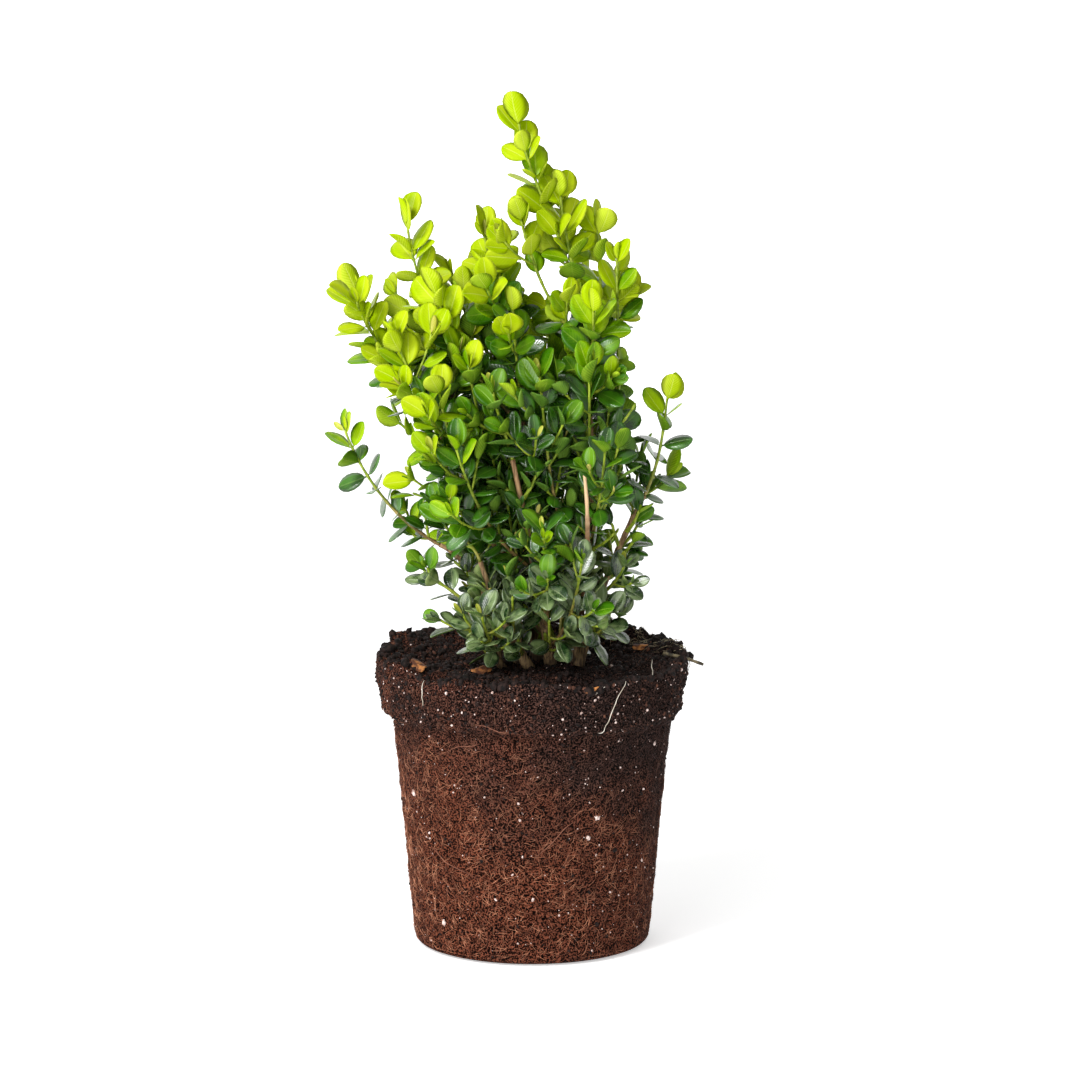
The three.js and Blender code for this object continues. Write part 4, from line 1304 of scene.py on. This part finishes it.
# %% Whether leaves pass through each other
def within(across, along, long, wide, margin):
    """Whether places on a leaf's plane are inside its blade, or nearer to it than a margin."""
    half = np.interp(along / long, STATIONS, HALF_WIDTHS) * wide / 2
    return (along > STALK * long) & (along < long + margin) & (abs(across) < half + margin)


def pierced(starts, ends, long, wide, margin):
    """Whether edges given in a leaf's own directions pass through its blade: the heights of
    the ends have different signs, and where the height is zero the place is inside."""
    rise = starts[..., 2] - ends[..., 2]
    share = starts[..., 2] / np.where(rise == 0, 1, rise)
    cut = starts + (ends - starts) * share[..., None]
    crosses = starts[..., 2] * ends[..., 2] < 0
    return (crosses & within(cut[..., 0], cut[..., 1], long, wide, margin)).any(-1)


class Crown:
    """The leaves grown so far, as arrays, so that one more can be tested against all."""

    def __init__(self, most):
        self.count = 0
        self.middles, self.roots = np.zeros((2, most, 3))
        self.frames = np.zeros((most, 3, 3))
        self.edges = np.zeros((most, 2 * len(STATIONS) - 2, 3))
        self.sizes = np.zeros((most, 2))

    def add(self, leaf):
        k = self.count
        self.middles[k] = leaf.root + leaf.along * leaf.long / 2
        self.roots[k], self.frames[k], self.edges[k] = leaf.root, leaf.frame(), leaf.edge()
        self.sizes[k] = leaf.long, leaf.wide
        self.count += 1

    def crosses(self, leaf, edge, margin):
        """Whether a leaf and any grown one pass through each other."""
        middle = leaf.root + leaf.along * leaf.long / 2
        away = np.linalg.norm(self.middles[: self.count] - middle, axis=1)
        near = np.nonzero(away < (self.sizes[: self.count, 0] + leaf.long) / 2 + margin)[0]
        if not len(near):
            return False
        seen = np.einsum("nij,nkj->nki", self.frames[near], edge - self.roots[near, None])
        long, wide = self.sizes[near].T[..., None]
        if pierced(seen, np.roll(seen, -1, axis=1), long, wide, margin).any():
            return True
        seen = (self.edges[near] - leaf.root) @ leaf.frame().T
        return pierced(seen, np.roll(seen, -1, axis=1), leaf.long, leaf.wide, margin).any()


below, over = np.array([[0.0, 0.5, -1.0]]), np.array([[0.0, 0.5, 1.0]])
print("an edge through the middle is found:", pierced(below, over, 1.0, 0.5, 0.0))

# %% [markdown]
# A leaf may not pass through wood either. Every limb is a row of points with a radius, and a
# point that lies within its radius of the blade is a clash. A leaf does touch its own twig, at
# the stalk, so there its twig is only looked at further out.

# %% Whether a leaf is clear of limbs
NEAR_LIMB = 0.003
OWN_TWIG_FROM = 0.3
limbs = [*twigs, *stems.values(), stub]
limb_points = np.concatenate([limb.points for limb in limbs])
limb_radii = np.concatenate([limb.radius(limb.shares) for limb in limbs])
limb_of = np.repeat(np.arange(len(limbs)), [len(limb.points) for limb in limbs])


def clear_of_limbs(leaf, own, margin):
    """Whether no limb's axis comes within its radius of the blade. The twig that the leaf
    grows on is looked at only beyond the leaf's own stalk."""
    offset = limb_points - leaf.root
    near = np.nonzero(np.linalg.norm(offset, axis=1) < leaf.long + NEAR_LIMB)[0]
    across, along, above = leaf.frame() @ offset[near].T
    room = limb_radii[near] + margin
    touched = within(across, along, leaf.long, leaf.wide, room) & (abs(above) < room)
    touched &= (limb_of[near] != own) | (along > OWN_TWIG_FROM * leaf.long)
    return not touched.any()


print(len(limb_points), "points on", len(limbs), "limbs")

# %% [markdown]
# The crown isn't closed everywhere: sky shows between the branch on the far left and the rest,
# beside the right-hand one, and through the top. Low down in the front the foot of a stem is
# bare. These openings are ellipses in the plane that the viewer faces, and no leaf has its
# middle inside one.

# %% Openings
OPENINGS = np.array([
    # x, z, half width, half height
    (0.0016, 0.352, 0.014, 0.010),
    (-0.0837, 0.361, 0.010, 0.009),
    (-0.0455, 0.379, 0.008, 0.010),
    (-0.006, 0.372, 0.005, 0.010),
    (-0.074, 0.263, 0.009, 0.012),
    (-0.062, 0.243, 0.005, 0.010),
    (0.0095, 0.170, 0.0055, 0.018),
    (0.0545, 0.297, 0.0065, 0.018),
    (0.0595, 0.315, 0.009, 0.016),
    (0.046, 0.221, 0.008, 0.013),
])


def in_opening(place):
    """Whether a place, seen from the front, is inside one of the ellipses."""
    away = (place[[0, 2]] - OPENINGS[:, :2]) / OPENINGS[:, 2:]
    return ((away ** 2).sum(1) < 1).any()


print(len(OPENINGS), "openings")

# %% [markdown]
# Each twig ends in a bud, and its pairs follow below it. The upper parts of the stems bear
# leaves as well, which count as older ones from the start. The dead stub has none.

# %% Pairs of leaves
BUD_DEPTH = 0.0003
FIRST_PAIR_DEPTH = 0.0016
STEM_FIRST_PAIR = 4
APART_HEIGHTS = (0.20, 0.40)
JOIN_HEIGHTS = (0.32, 0.40)
LONG_HEIGHTS = (0.19, 0.36)
WIDE_HEIGHTS = (0.20, 0.36)


def pairs_of(twig, own):
    """The leaf pairs of a limb and their distances from its tip: a bud, and then pairs evenly
    apart. On high twigs every second pair has moved up towards the one above it."""
    if twig.kind == "stem":
        first, last = STEM_PAIRS
        places = np.arange(first, last * twig.length, STEM_PAIRS_APART)
        return [(own, STEM_FIRST_PAIR + pair, from_tip) for pair, from_tip in enumerate(places)]
    tip_height = twig.points[-1, 2]
    apart = between(*PAIRS_APART, ease(tip_height, *APART_HEIGHTS))
    apart *= SHOOT_PAIRS_CLOSER if twig.kind == "shoot" else 1
    steps = np.arange(0, twig.length / apart - 0.5)
    steps[1::2] -= PAIRS_JOIN * ease(tip_height, *JOIN_HEIGHTS)
    places = [BUD_DEPTH, *(FIRST_PAIR_DEPTH + apart * steps)]
    return [(own, pair, from_tip) for pair, from_tip in enumerate(places)]


def leaf_size(twig, pair, height, chance):
    """Length and width: both grow with height, and buds and shoots have smaller leaves."""
    size = 1 + SIZE_VARIES * chance.normal()
    size *= SHOOT_LEAF_SMALLER if twig.kind == "shoot" else 1
    size *= FIRST_SIZES[pair] if pair < 2 else 1
    long = size * between(*LEAF_LONG, ease(height, *LONG_HEIGHTS))
    wide = between(*LEAF_WIDE, ease(height, *WIDE_HEIGHTS)) * (BUD_NARROWER if pair == 0 else 1)
    return long, long * wide


plan = [pairs_of(limb, own) for own, limb in enumerate([*twigs, *stems.values()])]
print("a place for", 2 * sum(len(pairs) for pairs in plan), "leaves")

# %% [markdown]
# The tips are served first, one pair on every twig, then the next pair down. So the outside of
# the crown gets its leaves before the inside does. A leaf that would pass through a twig or
# another leaf is tried in other poses: closer to the twig, turned aside, or smaller. If none of
# them fits it is left out, as a real leaf without light would be.

# %% Grow the leaves
LEAF_MARGIN = 0.0003
EARTH_MARGIN = 0.001
MOST_LEAVES = 4000
UPRIGHT_HEIGHTS = (0.33, 0.40)
SPREAD_HEIGHTS = (0.22, 0.34)
LEAF_TRIES = [
    # share of its spread, turn aside, share of its size
    (1, 0, 1), (0.85, 0.3, 1), (0.85, -0.3, 1), (0.65, 0, 1), (1.1, 0.5, 0.9), (1.1, -0.5, 0.9),
    (0.6, 0.6, 0.85), (0.6, -0.6, 0.85), (1, 0, 0.7), (0.5, 0.9, 0.7), (0.5, -0.9, 0.7),
]


def fits(leaf, own):
    """Whether a leaf is clear of the earth, of the limbs and of every leaf grown so far."""
    edge = leaf.edge()
    low = (edge[:, 2] < earth_height(edge[:, 0], edge[:, 1]) + EARTH_MARGIN).any()
    return not low and clear_of_limbs(leaf, own, LEAF_MARGIN) and (
        not crown.crosses(leaf, edge, LEAF_MARGIN))


crown = Crown(MOST_LEAVES)
leaves = []
order = sorted((entry for pairs in plan for entry in pairs), key=lambda entry: entry[1])
for own, pair, from_tip in order:
    twig = limbs[own]
    chance = np.random.default_rng([int(twig.seed), pair])
    height = twig.at(1 - from_tip / twig.length)[2]
    for half in (0, 1):
        long, wide = leaf_size(twig, pair, height, chance)
        turn = twig.turn + (pair + 1 + 2 * half) * math.pi / 2 + TURN_VARIES * chance.normal()
        upright = HIGH_SPREAD_LESS * ease(height, *UPRIGHT_HEIGHTS)
        spread = FIRST_SPREADS[min(pair, len(FIRST_SPREADS) - 1)] * (1 - upright)
        old_spread = OLD_SPREAD * (1 - ease(height, *SPREAD_HEIGHTS))
        spread += old_spread + SPREAD_VARIES * chance.normal()
        roll = np.clip(ROLL_VARIES * chance.normal(), -ROLL_MOST, ROLL_MOST)
        for close, twist, small in LEAF_TRIES:
            leaf = Leaf(
                twig, from_tip, spread * close, turn + twist, long * small, wide * small, roll)
            if in_opening(leaf.edge().mean(0)):
                break
            if fits(leaf, own):
                leaf.pair = pair
                crown.add(leaf)
                leaves.append(leaf)
                break
print(len(leaves), "leaves of", 2 * len(order))

# %% [markdown]
# A leaf is one closed shape of a few dozen faces: nine stations along it, five columns across,
# and a thin underside that shares the rim. Its outline has been settled above. Now it is folded
# along its midrib, rolled down at its edges, bent along its length and waved. All leaves of one
# age are shaped at once, as one array.

# %% Shape of a leaf
COLUMNS_OUT = np.array([-1, -0.5, 0, 0.5, 1])
THICKNESS = 0.00036
YOUNG_LENGTHS = (0.004, 0.03)
FOLDS, YOUNG_FOLD_MORE = (0.1, 0.42), 0.12
ROLLS, YOUNG_ROLL_LESS = (0.05, 0.4), 0.6
BENDS, YOUNG_BEND = (-0.02, 0.2), -0.05
SWAYS = (-0.05, 0.05)
WAVES, WAVE_TURNS, WAVE_TWIST = (0, 0.035), 9, 2
rows_up, columns_up = len(STATIONS), len(COLUMNS_OUT)
top_corner = np.arange(rows_up * columns_up).reshape(rows_up, columns_up)
under_corner = top_corner.copy()
under_corner[1:-1, 1:-1] = top_corner.size + np.arange((rows_up - 2) * 3).reshape(-1, 3)
strips = [np.stack([c[:-1, :-1], c[:-1, 1:], c[1:, 1:], c[1:, :-1]], -1).reshape(-1, 4)
          for c in (top_corner, under_corner)]
LEAF_FACES = np.concatenate([strips[0], strips[1][:, ::-1]])
LEAF_LOOKS = np.repeat([0, 1], len(strips[0]))
LEAF_PATCH = np.stack(np.meshgrid(STATIONS, COLUMNS_OUT, indexing="ij"), -1)
LEAF_PATCH = np.concatenate([LEAF_PATCH.reshape(-1, 2), LEAF_PATCH[1:-1, 1:-1].reshape(-1, 2)])


def shaped(some, seed):
    """The corners of leaves. Across: half width times column. Along: station times length.
    Above: fold times |column|, less roll times its square, less bend times the station's
    square, plus a wave along the rim. The midrib sways aside by a sine of the station."""
    chance = np.random.default_rng(seed)
    count = len(some)
    long, wide, young = np.array([
        (leaf.long, leaf.wide, 1 - ease(leaf.from_tip, *YOUNG_LENGTHS)) for leaf in some
    ]).T[..., None, None]
    u, v = STATIONS[None, :, None], COLUMNS_OUT[None, None, :]
    each = (count, 1, 1)
    fold = chance.uniform(*FOLDS, each) + YOUNG_FOLD_MORE * young
    roll = chance.uniform(*ROLLS, each) * (1 - YOUNG_ROLL_LESS * young)
    bend = between(chance.uniform(*BENDS, each), YOUNG_BEND, young)
    sway = chance.uniform(*SWAYS, each)
    wave = chance.uniform(*WAVES, each)
    phase = chance.uniform(0, 6.28, each)
    half = HALF_WIDTHS[None, :, None] * wide / 2
    across = half * v + sway * long * np.sin(np.pi * u)
    rise = half * (fold * abs(v) - roll * v * v) - bend * u * u * long
    rise = rise + wave * half * abs(v) * np.sin(WAVE_TURNS * u + phase + WAVE_TWIST * v)
    along = u * long * np.ones_like(v)
    shape = np.stack([across, along, rise], -1)
    under = shape[:, 1:-1, 1:-1] - np.array([0, 0, THICKNESS])
    shape = np.concatenate([shape.reshape(count, -1, 3), under.reshape(count, -1, 3)], 1)
    frames = np.array([leaf.frame() for leaf in some])
    roots = np.array([leaf.root for leaf in some])
    return roots[:, None] + np.einsum("nki,nij->nkj", shape, frames)


print("a leaf has", len(LEAF_FACES), "faces")

# %% [markdown]
# The upper face of a boxwood leaf is glossy, and the underside paler and dull. Both show the
# midrib and a feather of side veins. These follow the leaf and not the place in the crown, so
# the finish draws them from the leaf's own flat pattern: how far along it, and how far across.

# %% Finish of a leaf
RIB_SPAN = (0.015, 0.075)
RIM_HIGHLIGHT_SPAN = (0.86, 1.0)
SIDE_VEINS, VEIN_SLANT = 66.0, 0.3


def leaf_finish(name, dark, light, rib, gloss, rough, vein, clouds):
    """A blade: two greens mixed by a cloudy pattern, paler along the midrib, and paler at the rim
    as a painted highlight, with a fine feather of side veins as relief and, by the share vein, in
    its colour. clouds is how many clouds of colour there are in a metre."""
    finish = Finish(name, Specular_IOR_Level=gloss)
    along, across = finish.patch()
    tone = finish.noise(clouds, 4.0)
    off_rib = across.size().ease(*RIB_SPAN)
    # the pale rim is a painted highlight, of light caught on the rolled-down edge
    rim = across.size().ease(*RIM_HIGHLIGHT_SPAN)
    feather = ((along - across.size() * VEIN_SLANT) * SIDE_VEINS).wave()
    blade = finish.mix(dark, light, (tone + across * 0.12 + feather * vein).ease(0.36, 0.64))
    veined = finish.mix(blade, rib, (1.0 - off_rib) * 0.45 + rim * 0.25)
    finish.feed(Base_Color=veined, Roughness=rough + tone * 0.1)
    finish.relief(off_rib + feather * 0.12 + finish.noise(900.0, 2.0) * 0.25, 0.0001)
    return finish


# %% [markdown]
# A leaf's colour tells its age. New leaves at the top are lime, then comes fresh green, and
# then a dark one. The oldest, low down and far from a tip, are dull, and pale in patches of dust
# and painted sheen. So each leaf gets an age, which is a sum: older further from its twig's tip,
# older low down, older inside the crown, where its darker colour is also painted shade, and a
# little chance. A few buds at the very tips stay yellow, and old leaves near the earth are
# weathered, with painted sheen, which is the last span.

# %% Ages of leaves
Age = namedtuple("Age", "name until dark light rib back_dark back_light gloss clouds slot")
AGES = [
    Age("bud", 0.0, (156, 168, 40), (196, 198, 92), (208, 204, 128),
        (166, 166, 56), (198, 190, 104), 0.08, 55.0, "leaf_young"),
    Age("lime", 0.21, (154, 182, 0), (175, 193, 26), (202, 214, 98),
        (156, 182, 2), (184, 201, 54), 0.05, 55.0, "leaf_young"),
    Age("bright", 0.38, (98, 144, 0), (150, 182, 10), (186, 204, 82),
        (118, 156, 4), (164, 190, 46), 0.14, 60.0, "leaf_young"),
    Age("fresh", 0.56, (50, 98, 2), (94, 140, 10), (140, 172, 54),
        (80, 120, 12), (122, 154, 34), 0.34, 70.0, "leaf_grown"),
    Age("dark", 0.80, (22, 60, 3), (56, 108, 8), (112, 152, 50),
        (68, 106, 20), (110, 148, 42), 0.9, 90.0, "leaf_old"),
    # the pale light and rib colours of the oldest leaves are partly dust, partly a painted sheen
    Age("deep", 9.0, (24, 53, 17), (118, 139, 88), (174, 186, 142),
        (76, 104, 44), (138, 156, 92), 0.8, 170.0, "leaf_old"),
]
FROM_TIP_AGE, FROM_TIP_LENGTH = 0.52, 0.045
HIGH_TIP_LESS, HIGH_TIP_HEIGHTS = 0.65, (0.29, 0.37)
LOW_AGE, LOW_HEIGHTS = 0.72, (0.235, 0.385)
INNER_AGE_AND_SHADE, INNER_RADII = 0.45, (0.022, 0.088)
LOWEST_AGE, LOWEST_HEIGHTS = 0.16, (0.17, 0.22)
AGE_LESS, LEAST_AGE, AGE_VARIES = 0.42, 0.001, 0.07
WEATHERED_HEIGHTS, WEATHERED_VARIES, WEATHERED_FROM = (0.165, 0.245), 0.12, 0.52
WEATHERED_AGE, OTHERWISE_MOST = 1.0, 0.79
GROWN_AGE = 0.56
BUD_SHARE = 0.22

roots = np.array([leaf.root for leaf in leaves])
heights = roots[:, 2]
from_tips = np.array([leaf.from_tip for leaf in leaves])
from_axis = np.hypot(roots[:, 0] - MIDDLE[0], roots[:, 1])
chance = np.random.default_rng(9)
age = FROM_TIP_AGE * ease(from_tips, 0, FROM_TIP_LENGTH) * (
    1 - HIGH_TIP_LESS * ease(heights, *HIGH_TIP_HEIGHTS))
age += LOW_AGE * (1 - ease(heights, *LOW_HEIGHTS))
# inside the crown leaves are older, and their darker colour there is painted shade as well
age += INNER_AGE_AND_SHADE * (1 - ease(from_axis, *INNER_RADII)) - AGE_LESS
age += LOWEST_AGE * (1 - ease(heights, *LOWEST_HEIGHTS))
age = np.maximum(age + AGE_VARIES * chance.normal(size=len(leaves)), LEAST_AGE)
weather = 1 - ease(heights, *WEATHERED_HEIGHTS)
weather += WEATHERED_VARIES * chance.normal(size=len(leaves))
weathered_and_sheened = (weather > WEATHERED_FROM) & (age > GROWN_AGE)
age = np.where(weathered_and_sheened, WEATHERED_AGE, np.minimum(age, OTHERWISE_MOST))
is_bud = np.array([leaf.pair == 0 for leaf in leaves]) & (chance.random(len(leaves)) < BUD_SHARE)
row_of = np.searchsorted([row.until for row in AGES], np.where(is_bud, 0, age))
print("leaves of each age", np.bincount(row_of).tolist())

# %% [markdown]
# The leaves of one age are one piece, with a finish for their upper faces and one for their
# undersides. The finishes differ only in their numbers: the young ones are matt and even, and
# the old ones have a gloss and smaller clouds of colour. Each piece takes the place of the
# solid's sprays that are young, grown or old as it is.

# %% Leaves
FACE_ROUGH, FACE_VEIN = 0.23, 0.03
BACK_ROUGH, BACK_VEIN, BACK_GLOSS = 0.6, 0.09, 0.4
for number, row in enumerate(AGES):
    chosen = [leaf for leaf, its_row in zip(leaves, row_of) if its_row == number]
    points = shaped(chosen, 20 + number)
    faces = LEAF_FACES + len(LEAF_PATCH) * np.arange(len(chosen))[:, None, None]
    rib = paint(*row.rib)
    upper = leaf_finish(
        row.name + "_face", paint(*row.dark), paint(*row.light), rib,
        row.gloss, FACE_ROUGH, FACE_VEIN, row.clouds)
    under = leaf_finish(
        row.name + "_back", paint(*row.back_dark), paint(*row.back_light), rib,
        BACK_GLOSS * row.gloss, BACK_ROUGH, BACK_VEIN, row.clouds)
    stands_for = [node for node, slot in slot_of.items() if slot == row.slot]
    piece("leaves_" + row.name, points, faces.reshape(-1, 4).tolist(), [upper, under], row.slot,
          stands_for, np.tile(LEAF_LOOKS, len(chosen)), np.tile(LEAF_PATCH, (len(chosen), 1)))

# %% [markdown]
# Twigs are green while young and turn tan from their foot up. They swell a little at every
# leaf pair. The flat pattern of a twig holds its distance from the tip, and the finish reads
# the colour from that.

# %% Twigs
TWIG_SIDES = 5
NODE_SWELL = 0.28
NODE_LENGTH = 0.0013
TIP_THINNER, TIP_LENGTH = 0.55, 0.002
TAN_BY_DEPTH, TAN_BY_HEIGHT, TAN_HEIGHT, TAN_STEP = 12.0, 4.0, 0.25, (0.5, 1.2)


def twig_tube(own, twig):
    """A twig's tube and each corner's distance from its tip. Its radius is the taper times one
    plus a bell-shaped swelling at each leaf pair."""
    depth = (1 - twig.shares) * twig.length
    swell = sum(np.exp(-((depth - from_tip) / NODE_LENGTH) ** 2) for _, _, from_tip in plan[own])
    radii = twig.radius(twig.shares) * (1 + NODE_SWELL * swell)
    radii *= between(TIP_THINNER, 1, ease(depth, 0, TIP_LENGTH))
    points, faces = tubes(twig.points[None], radii[None], TWIG_SIDES)
    return points, faces, np.repeat(depth, TWIG_SIDES)


twig_parts = [twig_tube(own, twig) for own, twig in enumerate(twigs)]
points, faces = joined([part[:2] for part in twig_parts])
depths = np.concatenate([part[2] for part in twig_parts])
twig_skin = Finish("twig_skin", Specular_IOR_Level=0.35, Roughness=0.5)
depth, _ = twig_skin.patch()
height = twig_skin.height()
mottle = twig_skin.noise(330.0)
young_skin = twig_skin.mix(paint(112, 136, 22), paint(160, 178, 52), mottle.ease(0.35, 0.65))
old_skin = twig_skin.mix(paint(104, 82, 48), paint(164, 134, 84), mottle.ease(0.35, 0.65))
high_up = (height - TAN_HEIGHT) * TAN_BY_HEIGHT
turning = (depth * TAN_BY_DEPTH - high_up + mottle * 0.5).ease(*TAN_STEP)
twig_skin.feed(Base_Color=twig_skin.mix(young_skin, old_skin, turning))
twig_skin.relief(mottle, 0.0003)
piece("twigs", points, faces, [twig_skin], "stem_bark", [],
      patch=np.stack([depths, np.zeros_like(depths)], 1))

# %% [markdown]
# ## Stems and bark
#
# The stems are young wood, whose thin bark has long shallow ridges. The ridges are real relief:
# noise that is stretched along the stem moves each corner of its tube in or out. A swelling
# stands where each spray leaves the stem, and a few more knots where old twigs came off.

# %% Tubes of stems
STEM_SIDES = 18
RIDGE_DEPTH = 0.00012
RIDGE_SIZE = 0.0011
CRACK_SIZE, CRACK_SHARE = 0.0006, 0.6
SQUEEZE = 5 / 6
KNOT_HEIGHT, KNOT_LENGTH = 0.18, 0.0016
OLD_KNOTS, OLD_KNOT_SHARES = 7, (0.05, 0.8)


def stem_tube(name, stem):
    """A stem's tube, its radius times one plus knots, and its corners moved outwards by noise
    in places that are squeezed six times along the stem."""
    knots = [spray.at for spray in SPRAYS.values() if spray.stem == name]
    knots += np.random.default_rng(len(name)).uniform(*OLD_KNOT_SHARES, OLD_KNOTS).tolist()
    away = (stem.shares[:, None] - knots) * stem.length
    swell = KNOT_HEIGHT * np.exp(-(away / KNOT_LENGTH) ** 2).sum(1)
    points, faces = tubes(stem.points[None], (stem.radius(stem.shares) * (1 + swell))[None],
                          STEM_SIDES)
    centres = np.repeat(stem.points, STEM_SIDES, axis=0)
    squeezed = points - SQUEEZE * (centres - stem.points[0])
    cracks = grains(squeezed * (1, 1, 0.5), CRACK_SIZE, 6)
    ridges = grains(squeezed, RIDGE_SIZE, 5) + CRACK_SHARE * cracks
    return points + unit(points - centres) * (RIDGE_DEPTH * ridges)[:, None], faces


print("a stem has", STEM_SIDES, "sides")

# %% [markdown]
# The bark is pale tan near the ground and browner above, and the earth has stained its lowest
# centimetre. Its fibres are a noise whose places are stretched, so they run up the stem. The
# height decides between the three colours, and a noise makes their borders uneven.

# %% Bark
FIBRES = (900.0, 900.0, 120.0)
BROWN_HEIGHTS = (0.19, 0.27)
STAIN_HEIGHTS = (0.153, 0.164)
STAIN = 0.8
bark = Finish("bark", Specular_IOR_Level=0.3)
stretch = bark.node("Mapping", {}, {"Vector": bark.place(), "Scale": FIBRES})
fibre = bark.node("TexNoise", {}, {"Vector": stretch, "Scale": 1.0, "Detail": 4.0})
worn = bark.noise(70.0)
upward = (bark.height() + worn * 0.03).ease(*BROWN_HEIGHTS)
low_bark = bark.mix(paint(84, 64, 44), paint(186, 156, 112), fibre.ease(0.3, 0.7))
high_bark = bark.mix(paint(112, 80, 54), paint(184, 146, 106), fibre.ease(0.3, 0.7))
bare = bark.mix(low_bark, high_bark, upward)
soiled = 1.0 - (bark.height() + worn * 0.012).ease(*STAIN_HEIGHTS)
stained = bark.mix(bare, paint(38, 25, 18), soiled * STAIN)
bark.feed(Base_Color=stained, Roughness=0.6 + fibre * 0.25)
bark.relief(fibre, 0.0003)
points, faces = joined([stem_tube(name, stem) for name, stem in stems.items()])
piece("stems", points, faces, [bark], "stem_bark", list(STEMS))

# %% [markdown]
# The dead stub has the same tube and knots. It is dry all through, and the sun has bleached its
# upper half, so its finish goes from tan to a pale straw colour with height.

# %% The stub's tube and bark
BLEACHED_HEIGHTS = (0.225, 0.25)
dry_bark = Finish("dry_bark", Specular_IOR_Level=0.25, Roughness=0.75)
sun_bleached = (dry_bark.height() + dry_bark.noise(300.0) * 0.02).ease(*BLEACHED_HEIGHTS)
dry_bark.feed(Base_Color=dry_bark.mix(paint(138, 98, 66), paint(222, 186, 146), sun_bleached))
points, faces = stem_tube("bare_stub", stub)
piece("bare_stub", points, faces, [dry_bark], "stem_bark", [])

# %% [markdown]
# ## Floor and light
#
# The photo was taken against a bright white ground in soft daylight that comes from above and
# a little from the left, with weak shadows. A white surround and a white floor and wall that
# glow a little give that. They aren't part of the plant, so they are declared as its stage.

# %% Floor, wall and surround
PLANE_SIZE = 8
FLOOR_PLACE, FLOOR_GLOW = (0, 0, -0.0006), 0.44
WALL_PLACE, WALL_GLOW = (0, 4, 2), 1.0
SURROUND_STRENGTH = 0.48


def stage_plane(name, place, tilt, glow):
    """A square white plane for the set, which also gives out a little light of its own."""
    bpy.ops.mesh.primitive_plane_add(size=PLANE_SIZE, location=place, rotation=(tilt, 0, 0))
    plane = bpy.context.object
    plane.name = name
    white = Finish(name, Base_Color=paint(236, 236, 236), Roughness=0.9, Specular_IOR_Level=0.1)
    white.feed(Emission_Color=(1, 1, 1, 1), Emission_Strength=glow)
    plane.data.materials.append(white.material)
    plane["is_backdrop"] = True


stage_plane("floor", FLOOR_PLACE, 0, FLOOR_GLOW)
stage_plane("wall", WALL_PLACE, math.pi / 2, WALL_GLOW)

surround = bpy.data.worlds.new("surround")
surround.use_nodes = True
background = surround.node_tree.nodes["Background"]
background.inputs["Color"].default_value = (1, 1, 1, 1)
background.inputs["Strength"].default_value = SURROUND_STRENGTH
bpy.context.scene.world = surround
print("a set of two planes and a surround of strength", SURROUND_STRENGTH)

# %% [markdown]
# Two large soft lamps add the gloss on the leaves and the darker undersides. The stronger one
# stands high on the left, and a weaker one low in front of it lights what the crown shades. A
# large lamp near by has soft shadows, as a window has.

# %% Lamps
LAMP_AIM = Vector((0, 0, 0.22))


def lamp(name, place, size, watts):
    """A square area lamp at a place, facing the middle of the plant."""
    data = bpy.data.lights.new(name, "AREA")
    data.size, data.energy = size, watts
    lit = bpy.data.objects.new(name, data)
    lit.location = place
    lit.rotation_euler = (LAMP_AIM - Vector(place)).to_track_quat("-Z", "Y").to_euler()
    bpy.context.collection.objects.link(lit)
    lit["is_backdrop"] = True


lamp("key_lamp", (-1.1, -1.3, 1.7), 0.55, 42)
lamp("fill_lamp", (-0.8, -1.7, 0.35), 0.8, 19)
bpy.context.scene.view_settings.view_transform = "Standard"
print("two lamps aimed at", LAMP_AIM)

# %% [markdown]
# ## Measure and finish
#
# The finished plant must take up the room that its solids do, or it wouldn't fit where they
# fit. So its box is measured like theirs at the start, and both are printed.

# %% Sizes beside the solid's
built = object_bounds()
sizes = {"cad": [list(side) for side in cad_box], "built": [list(side) for side in built]}
print("solid box", sizes["cad"])
print("built box", sizes["built"])
